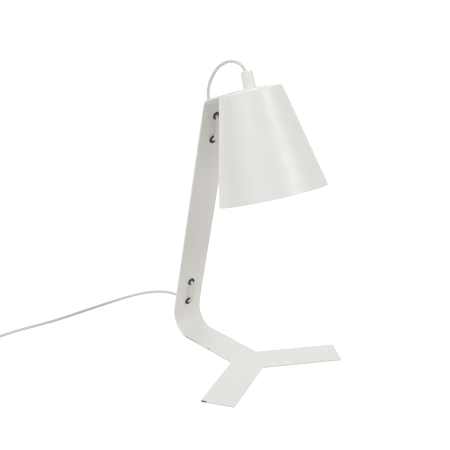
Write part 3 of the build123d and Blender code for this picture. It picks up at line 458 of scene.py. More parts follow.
WHITE_PAINT = PowderCoat("white_powder_coat", "white_paint", (0.80, 0.79, 0.785), 0.42)
# The first mark is a dark spot at the end of the front left leg; the other three are painted
# shadow along the back leg's left edge, up to the bend.
SHADOW_MARKED_PAINT = ShadowMarkedCoat(
    "shadow_marked_powder_coat", "white_paint", WHITE_PAINT.colour, WHITE_PAINT.roughness,
    dark_marks=(DarkMark((-0.1393, -0.0547, 0.0024), -60.0, (0.0055, 0.0012, 0.0013)),
           DarkMark((-0.0275, 0.1360, 0.0036), 90.0, (0.0080, 0.0007, 0.0007)),
           DarkMark((-0.0275, 0.1185, 0.0036), 90.0, (0.0130, 0.0006, 0.0006)),
           DarkMark((-0.0275, 0.0765, 0.0036), 90.0, (0.0050, 0.0007, 0.0007))))
PALE_PLASTIC = SparkTexture("pale_moulded_plastic", "white_plastic", (0.80, 0.79, 0.77), 0.45,
                            relief=0.000015)
GRIP_PLASTIC = SparkTexture("grip_moulded_plastic", "white_plastic", (0.85, 0.842, 0.835), 0.36,
                            relief=0.000012)
GLOSS_PLASTIC = SparkTexture("gloss_moulded_plastic", "gloss_white_plastic", (0.82, 0.81, 0.79),
                             0.24, grain=0.0018, coat=0.25)
SHEATH = Finish("flex_sheath", "flex_sheath", (0.60, 0.592, 0.583), 0.42, mottle=0.03,
                mottle_size=0.02, grain=0.0012, relief=0.00002, specular=0.22)
BLACK_RUBBER = Finish("black_rubber", "black_rubber", (0.004, 0.0035, 0.003), 0.7, mottle=0.15,
                      mottle_size=0.004, grain=0.0003, relief=0.00002, specular=0.05)
BLACK_FOAM = CellFoam("black_foam", "black_foam", (0.03, 0.03, 0.03), 0.9, mottle=0.2,
                      mottle_size=0.01, grain=0.0006, relief=0.0001, specular=0.2)
ZINC = DrawnMetal("zinc_steel", "zinc_steel", (0.60, 0.60, 0.59), 0.36, mottle=0.06,
                  mottle_size=0.006)
NICKEL = DrawnMetal("nickel_plate", "nickel_plate", (0.66, 0.64, 0.60), 0.26, mottle=0.05,
                    mottle_size=0.008, relief=0.000003)
BRASS = DrawnMetal("brass_contact", "brass", (0.72, 0.53, 0.25), 0.33, mottle=0.08,
                   mottle_size=0.005)
OPAL = OpalShell("opal_globe", "opal", (0.88, 0.87, 0.85), 0.16, mottle=0.006,
                 mottle_size=0.03, grain=0.004, coat=0.3)
BLACK_GLASS = Finish("black_glass", "black_glass", (0.02, 0.02, 0.022), 0.15, mottle=0.1,
                     grain=0.001, coat=0.4)
BLACK_PLASTIC = SparkTexture("black_sleeve_plastic", "black_plastic", (0.03, 0.03, 0.032), 0.4,
                             mottle=0.1, mottle_size=0.004, grain=0.0004)
BROWN_CORE = Finish("brown_core", "brown_core", (0.19, 0.075, 0.03), 0.35, mottle=0.05,
                    mottle_size=0.003, grain=0.0006)
BLUE_CORE = Finish("blue_core", "blue_core", (0.05, 0.14, 0.42), 0.35, mottle=0.05,
                   mottle_size=0.003, grain=0.0006)
BOARD = Finish("light_board", "light_board", (0.80, 0.80, 0.76), 0.4, mottle=0.03,
               mottle_size=0.004, grain=0.0006)
DIODE = Finish("pale_diode", "light_board", (0.80, 0.66, 0.20), 0.3, mottle=0.05,
               mottle_size=0.001, grain=0.0004)


# Meshes


def new_object(name: str, data: bpy.types.ID) -> Object:
    """Puts a mesh, curve, camera or light into the scene.

    Args:
        name: The object's name.
        data: What it shows.

    Returns:
        The object, at the origin.
    """
    obj = bpy.data.objects.new(name, data)
    bpy.context.scene.collection.objects.link(obj)
    return obj


def mesh_object(name: str, work: bmesh.types.BMesh) -> Object:
    """Turns a working mesh into an object.

    Args:
        name: The object's name.
        work: The working mesh, which is freed.

    Returns:
        The object.
    """
    mesh = bpy.data.meshes.new(name)
    work.to_mesh(mesh)
    work.free()
    return new_object(name, mesh)


def baked(obj: Object) -> Object:
    """Turns an object with live modifiers into a plain mesh object of its name.

    Args:
        obj: The object, which is removed.

    Returns:
        The plain object.
    """
    name, graph = obj.name, bpy.context.evaluated_depsgraph_get()
    mesh = bpy.data.meshes.new_from_object(obj.evaluated_get(graph))
    bpy.data.objects.remove(obj)
    mesh.name = name
    return new_object(name, mesh)


def weighted(obj: Object) -> Object:
    """Smooth shading that keeps broad faces flat and sharp edges sharp.

    Args:
        obj: The object, which is removed.

    Returns:
        The shaded object.
    """
    obj.data.shade_smooth()
    obj.data.set_sharp_from_angle(angle=math.radians(SHARP))
    obj.modifiers.new("weights", "WEIGHTED_NORMAL").keep_sharp = True
    return baked(obj)


def eased(node: str, name: str, edge: Edge) -> Object:
    """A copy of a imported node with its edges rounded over.

    Args:
        node: The node's name.
        name: The new object's name.
        edge: How far the edges are eased.

    Returns:
        The new object.
    """
    work = bmesh.new()
    work.from_mesh(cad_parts[node].data)
    bmesh.ops.remove_doubles(work, verts=work.verts, dist=MERGE)
    bmesh.ops.dissolve_limit(work, angle_limit=math.radians(FLAT), verts=work.verts,
                             edges=work.edges)
    turn = math.radians(EASED)
    hard = [e for e in work.edges if len(e.link_faces) == 2 and e.calc_face_angle(0.0) > turn]
    bmesh.ops.bevel(work, geom=hard, offset=edge.value, segments=2, profile=0.5,
                    affect="EDGES", clamp_overlap=True)
    return weighted(mesh_object(name, work))


def lathe(name: str, outline: Sequence[Pair], seat: SheetFrame, segments: int) -> Object:
    """Turns a closed outline about a frame's out axis.

    Args:
        name: The new object's name.
        outline: Radius and height pairs in millimetres, in order round the section.
        seat: The frame.
        segments: Steps in a full turn.

    Returns:
        The new object.
    """
    work = bmesh.new()
    ring = [work.verts.new(seat.at(0.0, height, radius)) for radius, height in outline]
    edges = [work.edges.new((a, b)) for a, b in zip(ring, ring[1:] + ring[:1])]
    bmesh.ops.spin(work, geom=ring + edges, cent=seat.origin, axis=seat.out,
                   angle=2 * math.pi, steps=segments, use_merge=True)
    bmesh.ops.remove_doubles(work, verts=work.verts, dist=MERGE)
    bmesh.ops.dissolve_degenerate(work, edges=work.edges, dist=MERGE / 2)
    bmesh.ops.recalc_face_normals(work, faces=work.faces)
    return weighted(mesh_object(name, work))


def cut_away(obj: Object, cutter: Object) -> Object:
    """Takes one shape away from another.

    Args:
        obj: The shape that is cut, and removed.
        cutter: The shape that is taken away, and removed.

    Returns:
        The new object, of the cut one's name.
    """
    rule = obj.modifiers.new("cut", "BOOLEAN")
    rule.operation = "DIFFERENCE"
    rule.object = cutter
    rule.solver = "EXACT"
    cut = baked(obj)
    bpy.data.objects.remove(cutter)
    return weighted(cut)


def arc(centre: Pair, radius: float, start: float, end: float, steps: int) -> list[Pair]:
    """Points on an arc.

    Args:
        centre: The arc's centre.
        radius: Its radius.
        start: Its first angle in degrees.
        end: Its last angle in degrees.
        steps: The number of steps between the two.

    Returns:
        The points, the ends included.
    """
    turns = [math.radians(start + (end - start) * i / steps) for i in range(steps + 1)]
    return [(centre[0] + radius * math.cos(t), centre[1] + radius * math.sin(t)) for t in turns]


def seat_piece(obj: Object, finish: Finish, stands_for: Sequence[str] = (),
               body: Body = Body.LAMP) -> Object:
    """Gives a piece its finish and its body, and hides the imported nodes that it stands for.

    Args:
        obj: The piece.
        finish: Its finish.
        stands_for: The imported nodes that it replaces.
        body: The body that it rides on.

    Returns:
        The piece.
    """
    obj.data.materials.clear()
    obj.data.materials.append(finish.material())
    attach(obj, body.value)
    if stands_for:
        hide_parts(*stands_for)
    log.info("%s rides on %s", obj.name, body.value)
    return obj


def seat_eased(node: str, name: str, edge: Edge, finish: Finish,
               body: Body = Body.LAMP) -> Object:
    """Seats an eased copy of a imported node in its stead."""
    return seat_piece(eased(node, name, edge), finish, [node], body)


def dress(finish: Finish, *nodes: str) -> None:
    """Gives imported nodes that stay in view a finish.

    Args:
        finish: The finish.
        nodes: The names of the nodes.
    """
    for node in nodes:
        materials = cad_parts[node].data.materials
        if not materials:
            materials.append(finish.material())
        for index in range(len(materials)):
            materials[index] = finish.material()
        log.info("%s keeps its own shape", node)


# Rules that repeat a shape or follow a path


class RuleTree(NodeSheet):
    """A Geometry Nodes tree with named inputs, which ends in one plain mesh."""

    KINDS = {float: "NodeSocketFloat", int: "NodeSocketInt"}
    WIRE_STEPS = 10
    RING_STEPS = 56

    def __init__(self, name: str, **sizes: type) -> None:
        """Makes the tree and its inputs.

        Args:
            name: The tree's name.
            sizes: The type of each size that it is given.
        """
        super().__init__(bpy.data.node_groups.new(name, "GeometryNodeTree"))
        faces = self.tree.interface
        for key, kind in sizes.items():
            faces.new_socket(name=key, in_out="INPUT", socket_type=self.KINDS[kind])
        faces.new_socket(name="Material", in_out="INPUT", socket_type="NodeSocketMaterial")
        faces.new_socket(name="Mesh", in_out="OUTPUT", socket_type="NodeSocketGeometry")
        self.given = self.tree.nodes.new("NodeGroupInput").outputs

    def vector(self, **parts: object) -> NodeSocket:
        """A vector from its parts X, Y and Z."""
        return self.out("ShaderNodeCombineXYZ", parts)

    def ring(self, steps: int, radius: NodeSocket) -> NodeSocket:
        """A round curve about Z."""
        return self.out("GeometryNodeCurvePrimitiveCircle", {
            "Resolution": steps, "Radius": radius})

    def tube(self, path: NodeSocket, radius: NodeSocket, caps: bool) -> NodeSocket:
        """A round tube along a curve."""
        return self.out("GeometryNodeCurveToMesh", {
            "Curve": path, "Profile Curve": self.ring(self.WIRE_STEPS, radius),
            "Fill Caps": caps})

    def end(self, shape: NodeSocket, smooth: bool = True) -> None:
        """Ends the tree in real, shaded meshes.

        Args:
            shape: The geometry to end with.
            smooth: Whether its faces are shaded smooth.
        """
        real = self.out("GeometryNodeRealizeInstances", {"Geometry": shape})
        shaded = self.out("GeometryNodeSetShadeSmooth", {
            "Geometry": real, "Shade Smooth": smooth})
        painted = self.out("GeometryNodeSetMaterial", {
            "Geometry": shaded, "Material": self.given["Material"]})
        self.add("NodeGroupOutput", {"Mesh": painted})

    def grow(self, name: str, sizes: dict[str, float], finish: Finish, place: Matrix) -> Object:
        """Runs the tree once.

        Args:
            name: The new object's name.
            sizes: A value for each named input.
            finish: The finish that the shape gets.
            place: The matrix that puts the shape in its place.

        Returns:
            The plain object, its place in its mesh.
        """
        carrier = new_object(name, bpy.data.meshes.new(name))
        rule = carrier.modifiers.new("rule", "NODES")
        rule.node_group = self.tree
        values = {**sizes, "Material": finish.material()}
        for item in self.tree.interface.items_tree:
            if item.in_out == "INPUT":
                rule[item.identifier] = values[item.name]
        obj = baked(carrier)
        obj.data.transform(place)
        return obj


def thread_rule() -> RuleTree:
    """A rolled thread: a round ridge that climbs round the Z axis.

    Returns:
        The rule.
    """
    rule = RuleTree("rolled_thread", Radius=float, Height=float, Turns=float, Ridge=float,
                    Steps=int)
    helix = rule.out("GeometryNodeCurveSpiral", {
        "Resolution": rule.given["Steps"], "Rotations": rule.given["Turns"],
        "Start Radius": rule.given["Radius"], "End Radius": rule.given["Radius"],
        "Height": rule.given["Height"], "Reverse": True})
    rule.end(rule.tube(helix, rule.given["Ridge"], caps=True))
    return rule


def ring_rule() -> RuleTree:
    """A row of round rings along Z that shrink from the first to the last.

    Returns:
        The rule.
    """
    rule = RuleTree("shrinking_rings", Count=int, Spacing=float, Radius=float, Shrink=float,
                    Wire=float)
    row = rule.out("GeometryNodeMeshLine", {
        "Count": rule.given["Count"], "Offset": rule.vector(Z=rule.given["Spacing"])})
    circle = rule.ring(rule.RING_STEPS, rule.given["Radius"])
    torus = rule.tube(circle, rule.given["Wire"], caps=False)
    loss = rule.maths("MULTIPLY", rule.out("GeometryNodeInputIndex"), rule.given["Shrink"])
    share = rule.maths("SUBTRACT", 1.0, loss)
    rule.end(rule.out("GeometryNodeInstanceOnPoints", {
        "Points": row, "Instance": torus, "Scale": rule.vector(X=share, Y=share, Z=1.0)}))
    return rule


def crown_rule() -> RuleTree:
    """Small upright blocks that stand in a circle about the Z axis and face outwards.

    Returns:
        The rule.
    """
    rule = RuleTree("block_crown", Count=int, Radius=float, Wide=float, Deep=float, High=float)
    circle = rule.out("GeometryNodeMeshCircle", {
        "Vertices": rule.given["Count"], "Radius": rule.given["Radius"]})
    block = rule.out("GeometryNodeMeshCube", {"Size": rule.vector(
        X=rule.given["Deep"], Y=rule.given["Wide"], Z=rule.given["High"])})
    facing = rule.out("FunctionNodeAlignRotationToVector", {
        "Vector": rule.out("GeometryNodeInputPosition")}, axis="X", pivot_axis="Z")
    placed = rule.out("GeometryNodeInstanceOnPoints", {
        "Points": circle, "Instance": block, "Rotation": facing})
    rule.end(placed, smooth=False)
    return rule


# Switch, tie and plug


@dataclass(frozen=True)
class InlineSwitch:
    """The in-line rocker switch and its sleeves.

    Attributes:
        x: The middle of the switch, in millimetres.
        y: Its line.
        z: The height of the flex in it.
        reach: From its middle to a sleeve's end.
        first_ring: From its middle to a sleeve's first ring.
        ring_step: The step between rings.
        rings: Rings on each sleeve.
        ring_radius: The first ring's radius, to the middle of its wire.
        ring_wire: The radius of that wire.
        shrink: The share by which each ring is smaller.
    """

    x: float = -342.0
    y: float = 349.5
    z: float = 8.5
    reach: float = 42.0
    first_ring: float = 28.2
    ring_step: float = 2.6
    rings: int = 5
    ring_radius: float = 4.4
    ring_wire: float = 0.55
    shrink: float = 0.058

    def build(self, rule: RuleTree) -> list[Object | str]:
        """Dresses the switch.

        Args:
            rule: The rule that makes a row of rings.

        Returns:
            The pieces and nodes that the flex carries here.
        """
        pieces: list[Object | str] = [
            seat_eased("switch_base", "switch_lower_shell", Edge.MOULDED, GLOSS_PLASTIC),
            seat_eased("switch_cover", "switch_upper_shell", Edge.MOULDED, GLOSS_PLASTIC),
            seat_eased("switch_sleeves", "switch_flex_sleeves", Edge.MOULDED, PALE_PLASTIC),
            seat_eased("switch_screws", "switch_base_screws", Edge.FINE, ZINC),
            "switch_contacts", "switch_blade", "switch_wires",
        ]
        seat_eased("switch_rocker", "rocker_key", Edge.MOULDED, GLOSS_PLASTIC, Body.ROCKER)
        dress(BRASS, "switch_contacts", "switch_blade")
        dress(BROWN_CORE, "switch_wires")
        sizes = {"Count": self.rings, "Spacing": self.ring_step * MM,
                 "Radius": self.ring_radius * MM, "Shrink": self.shrink,
                 "Wire": self.ring_wire * MM}
        for name, side in (("sleeve_rings_near", 1), ("sleeve_rings_far", -1)):
            start = MM * Vector((self.x + side * self.first_ring, self.y, self.z))
            place = Matrix.Translation(start) @ Matrix.Rotation(side * math.pi / 2, 4, "Y")
            pieces.append(seat_piece(rule.grow(name, sizes, PALE_PLASTIC, place), PALE_PLASTIC))
        return pieces


@dataclass(frozen=True)
class FlatPlug:
    """The flat two-pin plug.

    Attributes:
        x: The plug's middle line, in millimetres.
        end: Where the flex goes into its relief.
        middle: The height of its middle.
    """

    x: float = -423.6
    end: float = 222.0
    middle: float = 6.85

    def build(self) -> list[Object | str]:
        """Dresses the plug and the tie.

        Returns:
            The pieces of the plug and the tie.
        """
        return [
            seat_eased("plug_body", "plug_shell", Edge.MOULDED, PALE_PLASTIC),
            seat_eased("plug_relief", "plug_flex_relief", Edge.MOULDED, PALE_PLASTIC),
            seat_eased("plug_pins", "plug_contact_pins", Edge.TURNED, NICKEL),
            seat_eased("pin_sleeves", "plug_pin_sleeves", Edge.TURNED, BLACK_PLASTIC),
            seat_eased("cord_tie", "coil_tie", Edge.FINE, PALE_PLASTIC),
        ]


# Flex


def smooth_curve(name: str, points: Sequence[Vector], radius: float, fine: int) -> Object:
    """A round tube on one smooth open spline.

    Args:
        name: The new object's name.
        points: The spline's control points, in metres.
        radius: The tube's radius in metres.
        fine: Steps between control points.

    Returns:
        The curve object.
    """
    curve = bpy.data.curves.new(name, "CURVE")
    curve.dimensions = "3D"
    curve.bevel_depth = radius
    curve.bevel_resolution = 5
    curve.resolution_u = fine
    curve.use_fill_caps = True
    spline = curve.splines.new("NURBS")
    spline.points.add(len(points) - 1)
    for point, place in zip(spline.points, points):
        point.co = (*place, 1.0)
    spline.order_u = 3
    spline.use_endpoint_u = True
    spline.use_smooth = True
    return new_object(name, curve)


@dataclass(frozen=True)
class Flex:
    """The round two-core flex, in its laced stretch, its free stretch and its coiled rest.

    Attributes:
        switch: The switch that the free stretch ends in.
        plug: The plug that the coiled rest ends in.
        diameter: Its diameter in millimetres.
        holes: Places of the upright's holes along its front face, in millimetres.
        in_grip: Heights of its points in the head and the grip.
        bow: Its points over the top.
        front_bows: How far the upper and the lower front bow stand off the face.
        inlet: How far behind the face it comes to the top hole.
        bend: How far behind the face it turns into the straight run at the back.
        back_run: Points of that run, as distances along, behind and aside.
        outlet: How far behind the face it leaves the lowest hole, and first turns.
        fall: The points of the free stretch, down to the table and over it.
        sleeve_leads: Straight flex before the switch's one sleeve and after the other.
        turn_back: The points of the turn from the switch to the coil.
        coil_leads: Straight flex before the coil and after it.
        plug_lead: Straight flex before the plug's relief.
        coil: The middle of the coil in X and Y.
        coil_z: The heights of the coil's two layers.
        inner: The radius where the coil turns back.
        tuck: How much smaller its upper layer starts.
        pitch: The step between turns.
        turns_in: Turns on the lower layer.
        half_turn_steps: Points on half a turn.
    """

    switch: InlineSwitch
    plug: FlatPlug
    diameter: float = 5.4
    holes: tuple[float, ...] = (417.1, 375.6, 97.1, 55.6)
    in_grip: Triple = (-17.2, 12.0, 26.0)
    bow: tuple[Triple, ...] = (
        (0.0, 7.3, 490.6), (0.0, 22.3, 493.4), (0.0, 36.3, 492.3), (0.0, 49.5, 488.1),
        (0.0, 64.2, 480.1), (0.0, 76.7, 467.9), (0.0, 87.9, 451.1), (0.0, 92.8, 432.9))
    front_bows: Pair = (8.0, 10.5)
    inlet: float = 14.0
    bend: float = 12.5
    back_run: tuple[Triple, ...] = (
        (342.6, 9.6, 0.8), (290.6, 8.0, 1.5), (236.6, 7.4, 0.4), (183.1, 8.0, -1.0),
        (131.1, 9.6, 0.4))
    outlet: Pair = (4.2, 20.2)
    fall: tuple[Triple, ...] = (
        (5.9, 212.9, 50.0), (10.3, 241.0, 43.6), (13.1, 268.2, 35.6), (11.3, 295.0, 27.1),
        (3.5, 319.9, 18.6), (-18.1, 343.0, 9.3), (-46.6, 356.3, 2.7), (-81.4, 355.9, 2.7),
        (-121.0, 355.6, 2.7), (-161.7, 354.6, 2.7), (-199.2, 358.2, 2.7),
        (-237.9, 359.2, 4.4), (-262.6, 358.4, 5.2))
    sleeve_leads: Pair = (12.0, 15.0)
    turn_back: tuple[Triple, ...] = (
        (-416.0, 342.5, 6.4), (-426.6, 327.0, 4.4), (-429.2, 307.5, 3.55))
    coil_leads: Pair = (14.0, 13.0)
    plug_lead: float = 14.0
    coil: Pair = (-388.0, 270.0)
    coil_z: Pair = (3.55, 9.55)
    inner: float = 21.6
    tuck: float = 2.4
    pitch: float = 6.0
    turns_in: int = 3
    half_turn_steps: int = 8

    def laced_route(self) -> list[Vector]:
        """The way from the grip, over the top and through the four holes.

        Returns:
            The control points.
        """
        a, b, c, d = self.holes
        high, low = self.front_bows
        plate = [(a, self.inlet, 0.0), (a, -high, 0.0), (b, -high, 0.0), (b, self.bend, 0.0),
                 *self.back_run, (c, self.bend, 0.0), (c, -low, 0.0), (d, -low, 0.0),
                 (d, self.outlet[0], 0.0)]
        return [*(HEAD.at(0.0, height) for height in self.in_grip), *in_metres(self.bow),
                *(UPRIGHT.at(along, -behind, aside) for along, behind, aside in plate)]

    def free_route(self) -> list[Vector]:
        """The way from the lowest hole to the switch.

        Returns:
            The control points.
        """
        switch, sleeve = self.switch, self.switch.x + self.switch.reach
        into = [(sleeve + lead, switch.y, switch.z) for lead in (self.sleeve_leads[0], 0.0)]
        return [*(UPRIGHT.at(self.holes[3], -behind) for behind in self.outlet),
                *in_metres([*self.fall, *into])]

    def coil_points(self) -> list[Vector]:
        """The coil: in on the lower layer, up, and out on the upper one.

        Returns:
            The control points.
        """
        halves, half = 2 * self.turns_in, self.pitch / 2
        radii = [self.inner + half * left for left in range(halves, -1, -1)]
        radii += [self.inner - self.tuck, *(self.inner + half * i for i in range(1, halves))]
        heights = [self.coil_z[0]] * (halves + 1) + [self.coil_z[1]] * halves
        stops = list(zip(radii, heights))
        swell = 1 / math.cos(math.pi / (2 * self.half_turn_steps))
        shares = [(step + 0.5) / self.half_turn_steps for step in range(self.half_turn_steps)]
        points: list[Triple] = []
        for number, ((first, floor), (last, top)) in enumerate(zip(stops, stops[1:]), start=1):
            for share in shares:
                turn = math.pi * (number + share)
                radius = (first + (last - first) * share) * swell
                points.append((self.coil[0] + radius * math.cos(turn),
                               self.coil[1] + radius * math.sin(turn),
                               floor + (top - floor) * share))
        return in_metres(points)

    def coiled_route(self) -> list[Vector]:
        """The way from the switch, through the coil, to the plug.

        Returns:
            The control points.
        """
        switch, plug, sleeve = self.switch, self.plug, self.switch.x - self.switch.reach
        start = self.coil[0] - self.inner - self.turns_in * self.pitch
        last = start + self.pitch / 2
        low, high = self.coil_z
        near, far = self.coil[1] + self.diameter, self.coil[1] - self.diameter
        before = [(sleeve - lead, switch.y, switch.z) for lead in (0.0, self.sleeve_leads[1])]
        before += [*self.turn_back, (start, near + self.coil_leads[0], low), (start, near, low)]
        after = [(last, far, high), (last, far - self.coil_leads[1], high)]
        after += [(plug.x, plug.end + lead, plug.middle) for lead in (self.plug_lead, 0.0)]
        return [*in_metres(before), *self.coil_points(), *in_metres(after)]

    def stretch(self, name: str, route: Sequence[Vector], nodes: Sequence[str],
                fine: int) -> Object:
        """Makes and seats one stretch of the flex.

        Args:
            name: The stretch's name.
            route: Its control points.
            nodes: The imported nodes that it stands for.
            fine: Steps between control points.

        Returns:
            The curve object.
        """
        curve = smooth_curve(name, route, self.diameter / 2 * MM, fine)
        return seat_piece(curve, SHEATH, nodes)

    def build(self, switch_pieces: Sequence[Object | str],
              plug_pieces: Sequence[Object | str]) -> None:
        """Args:
            switch_pieces: The pieces of the switch; not used.
            plug_pieces: The tie and the pieces of the plug; not used.
        """
        self.stretch("flex_laced", self.laced_route(), ["cord_laced"], fine=16)
        route = self.free_route()
        free = self.stretch("flex_free", route, ["cord_free"], fine=14)
        route = self.coiled_route()
        coiled = self.stretch("flex_coiled", route, ["cord_link", "cord_coil", "cord_tail"],
                              fine=5)


# Stand, shade and grip


@dataclass(frozen=True)
class FoldedStand:
    """The folded sheet, its foam sheet and its rubber rings, each with a round lip either side.

    Attributes:
        bore: The radius of a ring's bore, in millimetres.
        neck: Its radius in the sheet.
        lip: The radius of its front lip.
        proud: How far its front lip stands off the sheet.
        back_lip: The radius of its back lip.
        behind: How far its back lip stands off the sheet.
        sheet: The thickness of the sheet.
    """

    bore: float = 3.15
    neck: float = 3.97
    lip: float = 6.5
    proud: float = 1.95
    back_lip: float = 5.9
    behind: float = 1.2
    sheet: float = 3.0

    def ring_outline(self) -> list[Pair]:
        """A ring's section, from its bore over the front lip and round the back one.

        Returns:
            Radius and height pairs.
        """
        half, back_half = (self.lip - self.bore) / 2, self.behind / 2
        back = -self.sheet - back_half
        front = arc((self.bore + half, self.proud - half), half, 180, 0, steps=16)
        rear = arc((self.back_lip - back_half, back), back_half, 0, -90, steps=5)
        inner = arc((self.bore + back_half, back), back_half, -90, -180, steps=5)
        return [*front, (self.lip, 0.0), (self.neck, 0.0), (self.neck, -self.sheet),
                (self.back_lip, -self.sheet), *rear, *inner]

    def build(self, holes: Sequence[float]) -> None:
        """Dresses the stand.

        Args:
            holes: Places of the upright's holes along its front face, in millimetres.
        """
        # The folded sheet's paint carries painted shadow along the back leg's edge, and one dark
        # spot.
        seat_eased("stand_plate", "folded_plate", Edge.SHEET, SHADOW_MARKED_PAINT)
        dress(BLACK_FOAM, "base_pad")
        for number, station in enumerate(holes, start=1):
            seat = replace(UPRIGHT, origin=UPRIGHT.at(station, 0.0))
            ring = lathe(f"hole_ring_{number}", self.ring_outline(), seat, segments=64)
            seat_piece(ring, BLACK_RUBBER, [f"grommet_{number}"])


@dataclass(frozen=True)
class ConeShade:
    """The spun cone of the shade, with a closed top and a plain lower rim.

    Attributes:
        top_radius: Its radius at the top, in millimetres.
        mouth_radius: Its radius at the mouth.
        height: Its height along its axis.
        wall: The thickness of its sheet.
        edge: The radius over its top edge.
        hole: The radius of the hole for the threaded tube.
    """

    top_radius: float = 47.8
    mouth_radius: float = 83.9
    height: float = 160.5
    wall: float = 1.0
    edge: float = 5.2
    hole: float = 5.2

    def outline(self) -> list[Pair]:
        """The section of the sheet, from the hole over the top to the rim and back inside.

        Returns:
            Radius and height pairs.
        """
        turn = 90 - math.degrees(math.atan2(self.height, self.mouth_radius - self.top_radius))
        reach = self.edge * math.tan(math.radians((90 - turn) / 2))
        centre = (self.top_radius - reach, -self.edge)
        lip = self.wall / 2
        along = Vector((self.mouth_radius - self.top_radius, -self.height)).normalized()
        off = Vector((-along.y, along.x))
        middle = Vector((self.mouth_radius, -self.height)) + along * -lip - off * lip
        end = math.degrees(math.atan2(off.y, off.x))
        outside = arc(centre, self.edge, 90, turn, steps=8)
        rim = arc((middle.x, middle.y), lip, end, end - 180, steps=8)
        inside = arc(centre, self.edge - self.wall, turn, 90, steps=6)
        return [(self.hole, 0.0), *outside, *rim, *inside, (self.hole, -self.wall)]

    def build(self) -> None:
        """Dresses the shade."""
        seat_piece(lathe("cone_shade", self.outline(), HEAD, segments=192), WHITE_PAINT, ["shade"])


@dataclass(frozen=True)
class TopFitting:
    """The cord grip with its screw, and the tube, washer and nut under it.

    Attributes:
        tube_radius: The threaded tube's radius, in millimetres.
        tube_low: Where its thread starts.
        tube_high: Where it ends.
        pitch: The thread's pitch.
        ridge: The radius of the thread's ridge.
        thread_steps: Steps in one of its turns.
        grip_top: The top of the grip.
        bore: The radius of its bore.
        mouth_low: Where the bore starts to widen.
        mouth_radius: The radius of its mouth.
        mouth_edge: The radius over the mouth's edge.
    """

    tube_radius: float = 5.0
    tube_low: float = -17.6
    tube_high: float = 15.4
    pitch: float = 1.0
    ridge: float = 0.3
    thread_steps: int = 36
    grip_top: float = 29.0
    bore: float = 2.9
    mouth_low: float = 19.0
    mouth_radius: float = 4.7
    mouth_edge: float = 0.8

    def mouth_outline(self) -> list[Pair]:
        """The section of what the trumpet mouth takes away.

        Returns:
            Radius and height pairs.
        """
        edge = arc((self.mouth_radius + self.mouth_edge, self.grip_top - self.mouth_edge),
                   self.mouth_edge, 180, 90, steps=6)
        over = self.grip_top + 1.0
        return [(0.0, self.mouth_low), (self.bore, self.mouth_low), *edge, (edge[-1][0], over),
                (0.0, over)]

    def build(self, threads: RuleTree) -> None:
        """Dresses the fitting.

        Args:
            threads: The rule that makes threads.
        """
        grip = eased("cord_grip", "flex_grip", Edge.MOULDED)
        mouth = lathe("mouth_cutter", self.mouth_outline(), HEAD, segments=96)
        seat_piece(cut_away(grip, mouth), GRIP_PLASTIC, ["cord_grip"])
        seat_eased("grip_screw", "set_screw", Edge.FINE, ZINC)
        dress(ZINC, "threaded_tube", "washer")
        seat_eased("lock_nut", "hex_nut", Edge.TURNED, ZINC)
        height = self.tube_high - self.tube_low
        sizes = {"Radius": (self.tube_radius - self.ridge) * MM, "Height": height * MM,
                 "Turns": height / self.pitch, "Ridge": self.ridge * MM,
                 "Steps": self.thread_steps}
        thread = threads.grow("tube_thread", sizes, ZINC, HEAD.matrix(self.tube_low))
        seat_piece(thread, ZINC)


# Lampholder and bulb


@dataclass(frozen=True)
class LampHolder:
    """The lampholder: cap, body, insert, screw shell, contact and its wires.

    Attributes:
        radius: The body's radius, in millimetres.
        top: The top of the body's ribbed band.
        low: Its lower end.
        ribs: The number of grip ribs round the band.
        rib_width: The width of a rib.
        rib_depth: Its depth.
    """

    radius: float = 14.5
    top: float = -17.8
    low: float = -24.4
    ribs: int = 36
    rib_width: float = 1.1
    rib_depth: float = 0.5

    def build(self, crown: RuleTree) -> None:
        """Dresses the holder.

        Args:
            crown: The rule that sets small blocks in a circle.
        """
        seat_eased("holder_cap", "holder_top", Edge.MOULDED, PALE_PLASTIC)
        seat_eased("holder_body", "holder_sleeve", Edge.MOULDED, PALE_PLASTIC)
        dress(PALE_PLASTIC, "holder_insert")
        dress(BRASS, "screw_shell", "centre_contact", "terminal_screws")
        dress(BROWN_CORE, "live_wire")
        dress(BLUE_CORE, "neutral_wire")
        sizes = {"Count": self.ribs, "Radius": self.radius * MM, "Wide": self.rib_width * MM,
                 "Deep": self.rib_depth * MM, "High": (self.top - self.low) * MM}
        place = HEAD.matrix((self.top + self.low) / 2)
        seat_piece(crown.grow("holder_ribs", sizes, PALE_PLASTIC, place), PALE_PLASTIC)


